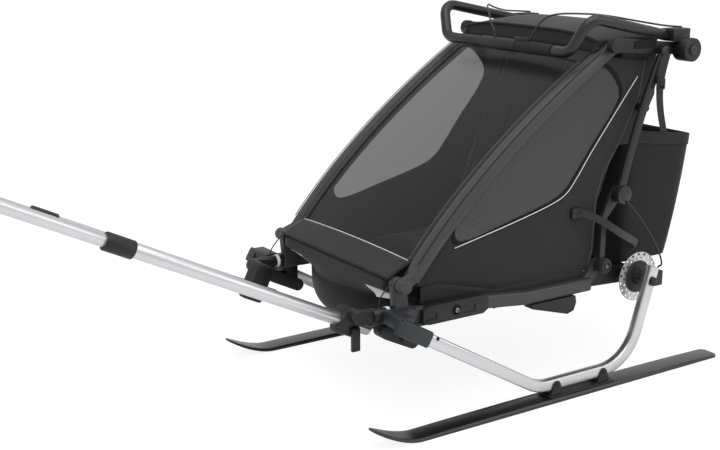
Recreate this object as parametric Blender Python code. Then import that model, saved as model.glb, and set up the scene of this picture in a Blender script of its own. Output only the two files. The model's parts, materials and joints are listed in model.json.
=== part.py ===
# A two-seat child trailer that glides on a pair of skis behind its two tow poles.
# Metres, +Z up, the trailer faces -Y and its own left side is +X. Pieces are drawn
# from the rear axle line (y = 0) and the root empty moves the whole trailer.
# A left-hand piece is drawn once and mirrored for the right-hand side.

from math import atan, atan2, ceil, cos, pi, radians, sin, sqrt, tan

import bmesh
import bpy
from mathutils import Matrix, Vector

# General
GAP = 0.0003
RUN_GAP = 0.0005
AXLE_Z = 0.271
X_AXIS = Vector((1, 0, 0))
Y_AXIS = Vector((0, 1, 0))

# Skis
SKI_TIP_Y = -0.923
SKI_TAIL_Y = 0.273
SKI_WIDTH = 0.065
SKI_MIDDLE_THICKNESS = 0.013
SKI_END_THICKNESS = 0.007
SKI_LIFT_START_Y = -0.790
SKI_TIP_RISE = 0.050
SKI_TAPER_LENGTH = 0.085
SKI_TOP_CHAMFER = 0.004
SKI_TIP_HALF = 0.004
SKI_TAIL_HALF = 0.022
SKI_TAIL_CHAMFER = 0.012
SKI_STATIONS = 22

# Ski legs, bent from one rectangular tube each
LEG_WIDTH = 0.025
LEG_TO_HUB = 0.0155
LEG_DEPTH = 0.032
LEG_CORNER = 0.006
LEG_BEND_RADIUS = 0.130
LEG_REAR_LEAN = radians(17.4)
LEG_TOP_ABOVE_AXLE = 0.040
LEG_RUN_Z = 0.043
LEG_RUN_FRONT_Y = -0.395
LEG_FRONT_SLOPE = radians(29.8)
LEG_VISIBLE_END_Y = -0.757
LEG_INSERT = 0.045
STUB_RADIUS = 0.0075
STUB_INNER_X = 0.336

# Ski mounts
MOUNT_PINS_Y = (-0.170, -0.338)
MOUNT_PIN_Z = 0.044
MOUNT_PLATE_HALF_WIDTH = 0.027
MOUNT_PLATE_THICKNESS = 0.004
MOUNT_PLATE_OVERHANG = 0.030
MOUNT_EAR_THICKNESS = 0.004
MOUNT_EAR_FOOT_HALF = 0.023
MOUNT_EAR_TOP_RADIUS = 0.010
MOUNT_BOLT_RADIUS = 0.0055
MOUNT_BOLT_HEIGHT = 0.0025

# Leg sleeves and the boss that carries them on the hitch arm
SLEEVE_WIDTH = 0.034
SLEEVE_DEPTH = 0.042
SLEEVE_CORNER = 0.008
SLEEVE_FRONT_Y = -0.838
SLEEVE_BOSS_LENGTH = 0.036
SLEEVE_BOSS_HEIGHT = 0.034

# Base frame
RAIL_INNER_X = 0.288
RAIL_WIDTH = 0.028
RAIL_HEIGHT = 0.038
RAIL_CORNER = 0.008
RAIL_FRONT_Y = -0.745
RAIL_FRONT_Z = 0.290
RAIL_KNEE_Y = -0.530
RAIL_KNEE_Z = 0.2855
RAIL_LOW_Y = -0.380
RAIL_LOW_Z = 0.2695
RAIL_REAR_Y = -0.160
FRAME_CROSS_YS = (-0.480, -0.180)
FRAME_CROSS_Z = 0.266
FRAME_CROSS_RADIUS = 0.012
CORNER_FRONT_Y = -0.790
CORNER_REAR_Y = -0.735
CORNER_BOTTOM_Z = 0.276
CORNER_TOP_Z = 0.306
POST_INNER_X = 0.2625
POST_THICKNESS = 0.0212
LUG_THICKNESS = 0.0162

# Pivots of the folding linkage, as seen from the side
FRONT_HINGE = (-0.775, 0.365)
TOP_BOSS = (-0.112, 0.915)
UPRIGHT_TOP = (0.055, 0.890)
MID_PIVOT = (-0.078, 0.515)
LOW_PIVOT = (-0.1235, 0.3195)
HANDLE_PIVOT = (0.130, 0.893)
FRONT_HINGE_RADIUS = 0.019
HINGE_BAR_RADIUS = 0.011
LOW_PIVOT_RADIUS = 0.018
LINK_BAR_RADIUS = 0.010

# Rail housings
HOUSING_FRONT_Y = -0.7345
HOUSING_REAR_Y = -0.530
HOUSING_INNER_X = 0.296
HOUSING_OUTER_X = 0.329
HOUSING_BOTTOM_Z = 0.2640
HOUSING_TOP_Z = 0.3125
HOUSING_BUTTON_Y = -0.632
HOUSING_BUTTON_RADIUS = 0.010
HOUSING_RECESS = 0.003

# Hitch sockets
SOCKET_INNER_X = 0.2625
SOCKET_WIDTH = 0.040
SOCKET_FRONT = (-0.822, 0.2560)
SOCKET_REAR = (-0.745, 0.2180)
SOCKET_HALF_DEPTH = 0.0175

# Footwell and floor
FLOOR_TOP_Z = 0.3025
FLOOR_THICKNESS = 0.005
FLOOR_REAR_Y = -0.165
TUB_HALF_WIDTH = 0.250
TUB_WALL = 0.005
TUB_MIDDLE_Y = -0.652
TUB_HALF_LENGTH = 0.150
TUB_DEPTH = 0.115
TUB_SIDE_RISE = 0.45
TUB_END_TAPER = 0.12
NOSE_TOP_Z = 0.372
NOSE_LEAN = 0.006
NOSE_SWEEP = 0.105

# Suspension blocks under the rails
BLOCK_FRONT_Y = -0.375
BLOCK_REAR_Y = -0.215
BLOCK_DROP = 0.048
BLOCK_WIDTH = 0.034

# Rear axle beam, hubs, rotors and brakes
BEAM_Y = 0.030
BEAM_Z = 0.2677
BEAM_RADIUS = 0.015
BEAM_ARM_THICKNESS = 0.0195
BEAM_ARM_FRONT_Y = -0.148
BEAM_ARM_HALF_HEIGHT = 0.017
BEAM_BOSS_RADIUS = 0.020
HUB_INNER_X = 0.302
HUB_OUTER_X = 0.347
HUB_RADIUS = 0.022
HUB_CARRIER_RADIUS = 0.0457
HUB_CARRIER_HALF = 0.0035
ROTOR_X = 0.3300
ROTOR_THICKNESS = 0.0020
ROTOR_RADIUS = 0.070
ROTOR_INNER_RADIUS = 0.046
ROTOR_HOLES = 12
ROTOR_HOLE_RADIUS = 0.0032
CALIPER_FRONT_Y = 0.050
CALIPER_REAR_Y = 0.090
CALIPER_BOTTOM_Z = 0.234
CALIPER_TOP_Z = 0.276
CALIPER_OUTER_X = 0.342
CALIPER_SLOT = 0.005
BUTTON_RADIUS = 0.012
BUTTON_PROUD = 0.008
BUTTON_LENGTH = 0.018
BUTTON_BORE_DEPTH = 0.0155

# Hitch arms, pole clamps and poles
ARM_X = 0.2760
ARM_RADIUS = 0.0165
ARM_Z = 0.297
ARM_FRONT_Y = -0.852
CLAMP_PIVOT = (-0.885, 0.297)
CLAMP_LUG_RADIUS = 0.0185
CLAMP_LUG_INNER_X = 0.2570
CLAMP_BOSS_INNER_X = 0.2440
POLE_X = 0.225
LEFT_POLE_DROP = 0.0212
RIGHT_POLE_DROP = 0.057
POLE_PITCH = radians(26.0)
REAR_POLE_RADIUS = 0.017
FRONT_POLE_RADIUS = 0.015
REAR_POLE_BACK = 0.070
REAR_POLE_FORWARD = 0.665
FRONT_POLE_INSERT = 0.080
FRONT_POLE_REACH = 0.935
FRONT_POLE_WALL = 0.0018
FRONT_POLE_PLUG = 0.012
POLE_BORE_CLEARANCE = 0.0004
CLAMP_HALF_LENGTH = 0.026
CLAMP_WALL = 0.0065
CLAMP_TOP_RISE = 0.016
CLAMP_TAIL = 0.009
COLLAR_LENGTH = 0.056
COLLAR_WALL = 0.0045
LEVER_LENGTH = 0.056
LEVER_WIDTH = 0.022
LEVER_THICKNESS = 0.009
LEVER_PIVOT_RADIUS = 0.006
LEVER_DROP = 0.034
LEVER_INNER_X = 0.2463

# Front frame
TUBE_INNER_X = 0.265
TUBE_WIDTH = 0.035
TUBE_DEPTH = 0.038
TUBE_CORNER = 0.009
TUBE_START = (-0.762, 0.345)
TUBE_START_SLOPE = radians(54)
TUBE_END = (-0.105, 0.903)
TUBE_END_SLOPE = radians(31)
TUBE_STATIONS = 14
TUBE_FIRST_T = 0.050
HINGE_BOSS_OUTER_X = 0.312

# Top brackets, handle hubs and handlebar
BRACKET_INNER_X = 0.3003
BRACKET_THICKNESS = 0.0144
BRACKET_CAP_OUTER_X = 0.320
BRACKET_CAP_RADIUS = 0.021
BRACKET_FRONT_RADIUS = 0.018
BRACKET_REAR_RADIUS = 0.0165
HANDLE_HUB_RADIUS = 0.032
HANDLE_HUB_OUTER_X = 0.360
HANDLE_SOCKET_FRONT_Y = 0.085
HANDLE_SOCKET_REAR_Y = 0.148
HANDLE_SOCKET_BOTTOM_Z = 0.9152
HANDLE_SOCKET_TOP_Z = 0.948
RELEASE_RADIUS = 0.013
RELEASE_OUT = 0.004
RELEASE_DEPTH = 0.016
BAR_RADIUS = 0.015
BAR_CORE_RADIUS = 0.0125
BAR_ARM_X = 0.302
BAR_ARM_REAR = (0.0815, 0.9305)
BAR_SHOULDER = (0.309, -0.2045, 0.991)
BAR_CROSS = (0.262, -0.226, 0.897)
BAR_BEND_RADIUS = 0.040
GRIP_LEFT_X = 0.200
GRIP_SEAM_X = 0.057
GRIP_RIGHT_X = -0.095
GRIP_RADIUS = 0.0165
HOUSING_GRIP_RADIUS = 0.0175
LEFT_STOP_END_X = 0.1005
LEFT_STOP_FOOT_X = 0.042
RIGHT_STOP_X = -0.0445
CABLE_STOP_RADIUS = 0.004
CABLE_STOP_TOP = 0.0250
CABLE_STOP_LIFT = 0.0007

# Uprights and lower links
LINK_INNER_X = 0.3045
LINK_THICKNESS = 0.0100
LINK_WIDTH = 0.018
LINK_BOSS_RADIUS = 0.020
LINK_CAP_OUTER_X = 0.330
LINK_CAP_RADIUS = 0.0215
UPRIGHT_INNER_X = 0.3150
UPRIGHT_THICKNESS = 0.0160
UPRIGHT_WIDTH = 0.026
UPRIGHT_TOP_RADIUS = 0.016
UPRIGHT_CAP_RADIUS = 0.025
UPRIGHT_CAP_OUTER_X = 0.343
UPRIGHT_BOW = 0.010
UPRIGHT_CROSS_RADIUS = 0.010
UPRIGHT_CROSS_HEIGHT = 0.745
UPRIGHT_CROSS_STEP_X = (0.235, 0.262)
UPRIGHT_CROSS_BEND = 0.012
UPRIGHT_CROSS_SEAT = 0.0188

# Fabric
PANEL_INNER_X = 0.2842
PANEL_THICKNESS = 0.0032
PANEL_BOTTOM_Z = 0.3033
PANEL_REAR_EDGE = ((-0.046, 0.655), (0.014, 0.772))
PANEL_TO_CROSS = 0.0015
COVER_THICKNESS = 0.003
COVER_RECESS = 0.0085
COVER_CROWN = 0.012
COVER_LIP = ((-0.7970, 0.3800), (-0.7720, 0.3930))
COVER_FIRST_T = 0.110
COVER_LAST_T = 0.965
ROOF_HALF_WIDTH = 0.282
ROOF_REAR_Y = 0.076
ROOF_SIDE_Z = 0.9235
ROOF_CROWN = 0.040
ROOF_LIP_DROP = 0.003
ROOF_THICKNESS = 0.004
SEAT_BACK_BOTTOM = (-0.180, 0.352)
SEAT_BACK_TOP = (0.020, 0.880)
SEAT_BACK_THICKNESS = 0.016
SEAT_BACK_HALF_WIDTH = 0.258
CUSHION_FRONT_Y = -0.500
CUSHION_REAR_Y = -0.200
CUSHION_HALF_WIDTH = 0.245
CUSHION_HEIGHT = 0.042
CUSHION_DRAW_IN = 0.010
BAG_BOTTOM_Z = 0.2830
BAG_FRONT_BOTTOM_Y = 0.012
BAG_FRONT_TOP_Y = -0.006
BAG_REAR_BOTTOM_Y = 0.222
BAG_REAR_TOP_Y = 0.272
BAG_FRONT_TOP_Z = 0.672
BAG_REAR_TOP_Z = 0.636
BAG_HALF_BOTTOM = 0.235
BAG_HALF_TOP = 0.260
BAG_WALL = 0.004
BAG_CORNER = 0.030
BAG_STATIONS = 6

# Brake cables: thickness, and the routes' points
CABLE_RADIUS = 0.0025
CABLE_END_GAP = 0.0013
CABLE_REST = 0.0010
CABLE_STEP = 0.017

# Looks: colour, roughness and metallic value of each material
LOOKS = {
    "frame_tube": ((0.075, 0.076, 0.078, 1), 0.42, 0.35),
    "black_shell": ((0.026, 0.026, 0.028, 1), 0.45, 0.0),
    "blue_black_shell": ((0.045, 0.052, 0.060, 1), 0.40, 0.0),
    "bright_aluminium": ((0.80, 0.80, 0.81, 1), 0.28, 1.0),
    "link_aluminium": ((0.32, 0.32, 0.33, 1), 0.38, 0.8),
    "rotor_steel": ((0.78, 0.78, 0.78, 1), 0.25, 1.0),
    "ski_top": ((0.020, 0.020, 0.022, 1), 0.35, 0.0),
    "grip_rubber": ((0.040, 0.040, 0.042, 1), 0.75, 0.0),
    "cable_black": ((0.020, 0.020, 0.020, 1), 0.5, 0.0),
    "panel_fabric": ((0.034, 0.034, 0.036, 1), 0.85, 0.0),
    "cushion_fabric": ((0.050, 0.052, 0.056, 1), 0.9, 0.0),
    "bag_fabric": ((0.024, 0.024, 0.026, 1), 0.8, 0.0),
}


# Derived values

def beside(point, along, across, slope):
    return (
        point[0] + along * cos(slope) - across * sin(slope),
        point[1] + along * sin(slope) + across * cos(slope),
    )


def line_y(point, slope, z):
    return point[0] + (z - point[1]) / tan(slope)


LEG_INNER_X = HUB_OUTER_X + LEG_TO_HUB
LEG_OUTER_X = LEG_INNER_X + LEG_WIDTH
SKI_X = (LEG_INNER_X + LEG_OUTER_X) / 2
BUTTON_OUTER_X = LEG_OUTER_X + BUTTON_PROUD
LEG_REAR_SLOPE = pi / 2 - LEG_REAR_LEAN
LEG_TOP = beside((0.0, AXLE_Z), LEG_TOP_ABOVE_AXLE, 0.0, LEG_REAR_SLOPE)
LEG_KNEE = (line_y((0.0, AXLE_Z), LEG_REAR_SLOPE, LEG_RUN_Z), LEG_RUN_Z)
LEG_ANKLE = (LEG_RUN_FRONT_Y, LEG_RUN_Z)
LEG_MOUTH = (
    LEG_VISIBLE_END_Y,
    LEG_RUN_Z + (LEG_RUN_FRONT_Y - LEG_VISIBLE_END_Y) * tan(LEG_FRONT_SLOPE),
)
LEG_END = beside(LEG_MOUTH, -LEG_INSERT, 0.0, -LEG_FRONT_SLOPE)
SLEEVE_TOP = (
    SLEEVE_FRONT_Y,
    LEG_MOUTH[1] + (LEG_VISIBLE_END_Y - SLEEVE_FRONT_Y) * tan(LEG_FRONT_SLOPE),
)
RAIL_X = RAIL_INNER_X + RAIL_WIDTH / 2
RAIL_BOTTOM_Z = RAIL_LOW_Z - RAIL_HEIGHT / 2
POST_OUTER_X = POST_INNER_X + POST_THICKNESS
LUG_OUTER_X = RAIL_INNER_X + LUG_THICKNESS
TUBE_X = TUBE_INNER_X + TUBE_WIDTH / 2
TUBE_OUTER_X = TUBE_INNER_X + TUBE_WIDTH
BRACKET_OUTER_X = BRACKET_INNER_X + BRACKET_THICKNESS
UPRIGHT_X = UPRIGHT_INNER_X + UPRIGHT_THICKNESS / 2
LINK_X = LINK_INNER_X + LINK_THICKNESS / 2
BEAM_ARM_OUTER_X = RAIL_INNER_X - GAP
BEAM_ARM_INNER_X = BEAM_ARM_OUTER_X - BEAM_ARM_THICKNESS
POLE_DROPS = {1: LEFT_POLE_DROP, -1: RIGHT_POLE_DROP}
POLE_END = REAR_POLE_FORWARD + FRONT_POLE_REACH
FRONT_LIMIT_Y = (
    CLAMP_PIVOT[0]
    - RIGHT_POLE_DROP * sin(POLE_PITCH)
    - POLE_END * cos(POLE_PITCH)
    - FRONT_POLE_RADIUS * sin(POLE_PITCH)
)
AXLE_Y = -(FRONT_LIMIT_Y + SKI_TAIL_Y) / 2


# Drawing helpers

def look(name):
    found = bpy.data.materials.get(name)
    if found:
        return found
    colour, roughness, metallic = LOOKS[name]
    made = bpy.data.materials.new(name)
    made.use_nodes = True
    made.diffuse_color = colour
    shader = made.node_tree.nodes["Principled BSDF"]
    shader.inputs["Base Color"].default_value = colour
    shader.inputs["Roughness"].default_value = roughness
    shader.inputs["Metallic"].default_value = metallic
    return made


def link_object(name, data, origin, side=1):
    made = bpy.data.objects.new(name, data)
    bpy.context.scene.collection.objects.link(made)
    made.parent = ROOT
    made.location = (side * origin[0], origin[1], origin[2])
    return made


def mesh_of(name, shape, origin, side):
    moved = shape.copy()
    bmesh.ops.translate(moved, vec=-Vector(origin), verts=moved.verts)
    if side < 0:
        bmesh.ops.scale(moved, vec=(-1, 1, 1), verts=moved.verts)
    bmesh.ops.recalc_face_normals(moved, faces=moved.faces)
    mesh = bpy.data.meshes.new(name)
    moved.to_mesh(mesh)
    moved.free()
    mesh.shade_smooth()
    mesh.set_sharp_from_angle(angle=radians(35))
    return mesh


def piece(name, surface, shapes, cuts=(), origin=(0, 0, 0), side=1):
    made = link_object(name, mesh_of(name, shapes[0], origin, side), origin, side)
    made.data.materials.append(look(surface))
    tools = [(shape, "UNION") for shape in shapes[1:]]
    tools += [(shape, "DIFFERENCE") for shape in cuts]
    for number, (shape, operation) in enumerate(tools):
        label = f"{name}_{operation.lower()}_{number}"
        helper = link_object(label, mesh_of(label, shape, origin, side), origin, side)
        helper.hide_render = True
        helper.display_type = "WIRE"
        step = made.modifiers.new(label, "BOOLEAN")
        step.operation = operation
        step.object = helper
    return made


def loft(rings, closed=False):
    shape = bmesh.new()
    made = [[shape.verts.new(point) for point in ring] for ring in rings]
    count = len(made[0])
    pairs = list(zip(made, made[1:]))
    if closed:
        pairs.append((made[-1], made[0]))
    for first, second in pairs:
        for i in range(count):
            j = (i + 1) % count
            shape.faces.new((first[i], first[j], second[j], second[i]))
    if not closed:
        shape.faces.new(made[0])
        shape.faces.new(made[-1])
    return shape


def prism(outline, x0, x1):
    return loft([[(x, y, z) for y, z in outline] for x in (x0, x1)])


def box(x0, x1, y0, y1, z0, z1):
    return prism(((y0, z0), (y1, z0), (y1, z1), (y0, z1)), x0, x1)


def circle(radius, count, turn=0.0):
    return [
        (radius * cos(2 * pi * i / count + turn), radius * sin(2 * pi * i / count + turn))
        for i in range(count)
    ]


def rounded_rect(width, depth, corner, steps=2):
    points = []
    for quarter, (sx, sy) in enumerate(((1, 1), (-1, 1), (-1, -1), (1, -1))):
        cx = sx * (width / 2 - corner)
        cy = sy * (depth / 2 - corner)
        for step in range(steps + 1):
            angle = (quarter + step / steps) * pi / 2
            points.append((cx + corner * cos(angle), cy + corner * sin(angle)))
    return points


def disc(centre, radius, x0, x1, count=20):
    outline = [(centre[0] + a, centre[1] + b) for a, b in circle(radius, count, pi / count)]
    return prism(outline, x0, x1)


def hull_of(discs, count=20):
    points = [
        (centre[0] + a, centre[1] + b)
        for centre, radius in discs
        for a, b in circle(radius, count, pi / count)
    ]
    points = sorted(set(points))

    def half(run):
        chain = []
        for point in run:
            while len(chain) > 1 and turn(chain[-2], chain[-1], point) <= 0:
                chain.pop()
            chain.append(point)
        return chain[:-1]

    def turn(a, b, c):
        return (b[0] - a[0]) * (c[1] - a[1]) - (b[1] - a[1]) * (c[0] - a[0])

    return half(points) + half(reversed(points))


def rod(start, end, radius, count=16):
    start = Vector(start)
    along = (Vector(end) - start).normalized()
    helper = X_AXIS if abs(along.x) < 0.9 else Y_AXIS
    u = helper.cross(along).normalized()
    v = along.cross(u)
    rings = [
        [point + u * a + v * b for a, b in circle(radius, count)]
        for point in (start, Vector(end))
    ]
    return loft(rings)


def fillet(points, radius, steps=4):
    rounded = [Vector(points[0])]
    for before, corner, after in zip(points, points[1:], points[2:]):
        corner = Vector(corner)
        inward = (Vector(before) - corner).normalized()
        outward = (Vector(after) - corner).normalized()
        turn = pi - inward.angle(outward)
        reach = radius * tan(turn / 2)
        centre = corner + (inward + outward).normalized() * radius / cos(turn / 2)
        first = corner + inward * reach - centre
        normal = first.cross(corner + outward * reach - centre).normalized()
        for step in range(steps + 1):
            rounded.append(centre + Matrix.Rotation(turn * step / steps, 3, normal) @ first)
    rounded.append(Vector(points[-1]))
    return rounded


def tangents(points):
    found = []
    for i in range(len(points)):
        ahead = points[min(i + 1, len(points) - 1)]
        behind = points[max(i - 1, 0)]
        if 0 < i < len(points) - 1:
            along = (ahead - points[i]).normalized() + (points[i] - behind).normalized()
        else:
            along = ahead - behind
        found.append(along.normalized())
    return found


def side_sweep(path, x, profile):
    points = [Vector((x, y, z)) for y, z in path]
    rings = []
    for point, along in zip(points, tangents(points)):
        across = X_AXIS.cross(along)
        rings.append([point + X_AXIS * a + across * b for a, b in profile])
    return loft(rings)


def round_sweep(points, radius, count=12):
    rings = []
    across = None
    for point, along in zip(points, tangents(points)):
        if across is None:
            across = along.orthogonal().normalized()
        across = (across - along * across.dot(along)).normalized()
        other = along.cross(across)
        rings.append([point + across * a + other * b for a, b in circle(radius, count)])
    return loft(rings)


def side_fillet(points, radius, steps=4):
    flat = fillet([(0, y, z) for y, z in points], radius, steps)
    return [(point.y, point.z) for point in flat]


def smooth_route(points, step):
    route = [Vector(point) for point in points]
    route = [route[0] * 2 - route[1]] + route + [route[-1] * 2 - route[-2]]
    found = []
    for a, b, c, d in zip(route, route[1:], route[2:], route[3:]):
        count = max(2, ceil((c - b).length / step))
        for i in range(count):
            t = i / count
            found.append(
                0.5 * (2 * b + (c - a) * t + (2 * a - 5 * b + 4 * c - d) * t**2
                       + (3 * b - a - 3 * c + d) * t**3)
            )
    found.append(route[-2])
    return found


def cable(name, points, side=1, origin=(0, 0, 0)):
    curve = bpy.data.curves.new(name, "CURVE")
    curve.dimensions = "3D"
    curve.bevel_depth = CABLE_RADIUS
    curve.bevel_resolution = 2
    curve.use_fill_caps = True
    route = smooth_route(points, CABLE_STEP)
    spline = curve.splines.new("POLY")
    spline.points.add(len(route) - 1)
    for target, point in zip(spline.points, route):
        target.co = (
            side * (point.x - origin[0]), point.y - origin[1], point.z - origin[2], 1)
    curve.materials.append(look("cable_black"))
    return link_object(name, curve, origin, side)


def sides():
    return ((1, "left"), (-1, "right"))


def at(x, point):
    return (x, point[0], point[1])


# The curve of the front frame's tubes, from the hinge to the top boss

def tube_control():
    gap_y = TUBE_END[0] - TUBE_START[0]
    gap_z = TUBE_END[1] - TUBE_START[1]
    reach = (gap_y * sin(TUBE_END_SLOPE) - gap_z * cos(TUBE_END_SLOPE)) / sin(
        TUBE_END_SLOPE - TUBE_START_SLOPE
    )
    return beside(TUBE_START, reach, 0.0, TUBE_START_SLOPE)


def tube_point(t, across=0.0):
    control = tube_control()
    a, b, c = (1 - t) ** 2, 2 * t * (1 - t), t**2
    y = a * TUBE_START[0] + b * control[0] + c * TUBE_END[0]
    z = a * TUBE_START[1] + b * control[1] + c * TUBE_END[1]
    run_y = (1 - t) * (control[0] - TUBE_START[0]) + t * (TUBE_END[0] - control[0])
    run_z = (1 - t) * (control[1] - TUBE_START[1]) + t * (TUBE_END[1] - control[1])
    return beside((y, z), 0.0, across, atan2(run_z, run_y))


def tube_run(first, last, count, across=0.0):
    return [
        tube_point(first + (last - first) * i / (count - 1), across) for i in range(count)
    ]


# Skis and their mounts

def ski_section(y):
    middle = (MOUNT_PINS_Y[0] + MOUNT_PINS_Y[1]) / 2
    if y > middle:
        share = (y - middle) / (SKI_TAIL_Y - middle)
    else:
        share = (middle - y) / (middle - SKI_TIP_Y)
    thickness = SKI_END_THICKNESS
    thickness += (SKI_MIDDLE_THICKNESS - SKI_END_THICKNESS) * cos(share * pi / 2) ** 0.7
    lift = max(0.0, (SKI_LIFT_START_Y - y) / (SKI_LIFT_START_Y - SKI_TIP_Y))
    bottom = SKI_TIP_RISE * lift**1.6
    half = SKI_WIDTH / 2
    into_tip = max(0.0, 1 - (y - SKI_TIP_Y) / SKI_TAPER_LENGTH)
    half = SKI_TIP_HALF + (half - SKI_TIP_HALF) * sqrt(max(0.0, 1 - into_tip**2))
    if y >= SKI_TAIL_Y - 1e-6:
        half = SKI_TAIL_HALF
    edge = min(SKI_TOP_CHAMFER, half * 0.4)
    return [
        (SKI_X - half, y, bottom),
        (SKI_X + half, y, bottom),
        (SKI_X + half, y, bottom + thickness * 0.6),
        (SKI_X + half - edge, y, bottom + thickness),
        (SKI_X - half + edge, y, bottom + thickness),
        (SKI_X - half, y, bottom + thickness * 0.6),
    ]


def ski_top_z():
    return SKI_MIDDLE_THICKNESS


def make_skis():
    flat = [MOUNT_PINS_Y[0] + 0.04, MOUNT_PINS_Y[1] - 0.04]
    stations = [SKI_TAIL_Y, SKI_TAIL_Y - SKI_TAIL_CHAMFER]
    body = (SKI_TAIL_Y - SKI_TAIL_CHAMFER) - (SKI_LIFT_START_Y)
    stations += [SKI_TAIL_Y - SKI_TAIL_CHAMFER - body * i / 8 for i in range(1, 8)]
    curl = SKI_LIFT_START_Y - SKI_TIP_Y
    count = SKI_STATIONS - len(stations)
    stations += [SKI_LIFT_START_Y - curl * sin(pi / 2 * i / count) for i in range(count + 1)]
    stations = sorted(set(stations + flat), reverse=True)
    for side, word in sides():
        shape = loft([ski_section(y) for y in stations])
        piece(f"{word}_ski", "ski_top", [shape], side=side)


def ear_outline(pin_y, foot_z):
    top = [
        (pin_y + MOUNT_EAR_TOP_RADIUS * cos(a), MOUNT_PIN_Z + MOUNT_EAR_TOP_RADIUS * sin(a))
        for a in (radians(20 + 35 * i) for i in range(5))
    ]
    return [(pin_y + MOUNT_EAR_FOOT_HALF, foot_z)] + top + [(pin_y - MOUNT_EAR_FOOT_HALF, foot_z)]


def make_ski_mounts():
    bottom = ski_top_z() + GAP
    top = bottom + MOUNT_PLATE_THICKNESS
    saddle = LEG_RUN_Z - LEG_DEPTH / 2 - GAP
    rear = MOUNT_PINS_Y[0] + MOUNT_PLATE_OVERHANG
    front = MOUNT_PINS_Y[1] - MOUNT_PLATE_OVERHANG
    for side, word in sides():
        x0 = SKI_X - MOUNT_PLATE_HALF_WIDTH
        x1 = SKI_X + MOUNT_PLATE_HALF_WIDTH
        shapes = [box(x0, x1, front, rear, bottom, top)]
        for pin_y in MOUNT_PINS_Y:
            half = MOUNT_EAR_FOOT_HALF * 0.7
            shapes.append(
                box(LEG_INNER_X - GAP * 4, LEG_OUTER_X + GAP * 4,
                    pin_y - half, pin_y + half, bottom + 0.001, saddle)
            )
            outline = ear_outline(pin_y, bottom + 0.0015)
            outer = LEG_OUTER_X + GAP
            inner = LEG_INNER_X - GAP
            shapes.append(prism(outline, outer, outer + MOUNT_EAR_THICKNESS))
            shapes.append(prism(outline, inner - MOUNT_EAR_THICKNESS, inner))
            bolt_x = outer + MOUNT_EAR_THICKNESS
            shapes.append(
                disc((pin_y, MOUNT_PIN_Z), MOUNT_BOLT_RADIUS,
                     bolt_x - 0.002, bolt_x + MOUNT_BOLT_HEIGHT, 12)
            )
        piece(f"{word}_ski_mount", "black_shell", shapes, side=side)


# Ski legs, their sleeves and the push buttons on the axle

def leg_path():
    return side_fillet((LEG_TOP, LEG_KNEE, LEG_ANKLE, LEG_END), LEG_BEND_RADIUS, 7)


def make_ski_legs():
    profile = rounded_rect(LEG_WIDTH, LEG_DEPTH, LEG_CORNER)
    axle = (0.0, AXLE_Z)
    for side, word in sides():
        tube = side_sweep(leg_path(), SKI_X, profile)
        stub = rod(at(STUB_INNER_X, axle), at(LEG_INNER_X + 0.004, axle), STUB_RADIUS)
        bore = rod(
            at(LEG_OUTER_X - BUTTON_BORE_DEPTH, axle),
            at(LEG_OUTER_X + 0.01, axle),
            BUTTON_RADIUS + RUN_GAP,
        )
        piece(f"{word}_ski_leg", "bright_aluminium", [tube, stub], [bore], side=side)
        button = rod(
            at(BUTTON_OUTER_X - BUTTON_LENGTH, axle), at(BUTTON_OUTER_X, axle), BUTTON_RADIUS
        )
        piece(
            f"{word}_axle_button", "black_shell", [button],
            origin=at(BUTTON_OUTER_X, axle), side=side,
        )


def make_leg_sleeves():
    outer = rounded_rect(SLEEVE_WIDTH, SLEEVE_DEPTH, SLEEVE_CORNER)
    hollow = rounded_rect(LEG_WIDTH + 2 * GAP, LEG_DEPTH + 2 * GAP, LEG_CORNER)
    past_end = beside(LEG_END, -GAP, 0.0, -LEG_FRONT_SLOPE)
    before_mouth = beside(LEG_MOUTH, 0.03, 0.0, -LEG_FRONT_SLOPE)
    mouth = beside(LEG_MOUTH, -GAP, 0.0, -LEG_FRONT_SLOPE)
    boss_x = ARM_X + ARM_RADIUS + GAP
    for side, word in sides():
        shell = side_sweep((mouth, SLEEVE_TOP), SKI_X, outer)
        boss = box(
            boss_x, SKI_X,
            SLEEVE_FRONT_Y + 0.006, SLEEVE_FRONT_Y + 0.006 + SLEEVE_BOSS_LENGTH,
            ARM_Z - SLEEVE_BOSS_HEIGHT / 2, ARM_Z + SLEEVE_BOSS_HEIGHT / 2,
        )
        bore = side_sweep((before_mouth, past_end), SKI_X, hollow)
        piece(f"{word}_leg_sleeve", "blue_black_shell", [shell, boss], [bore], side=side)


# Base frame: two rails, two cross tubes, front posts and rear lugs

def rail_path(extra=0.0):
    fall = (RAIL_KNEE_Z - RAIL_FRONT_Z) / (RAIL_KNEE_Y - RAIL_FRONT_Y)
    return side_fillet(
        (
            (RAIL_FRONT_Y - extra, RAIL_FRONT_Z - fall * extra),
            (RAIL_KNEE_Y, RAIL_KNEE_Z),
            (RAIL_LOW_Y, RAIL_LOW_Z),
            (RAIL_REAR_Y, RAIL_LOW_Z),
        ),
        0.20, 3,
    )


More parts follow.
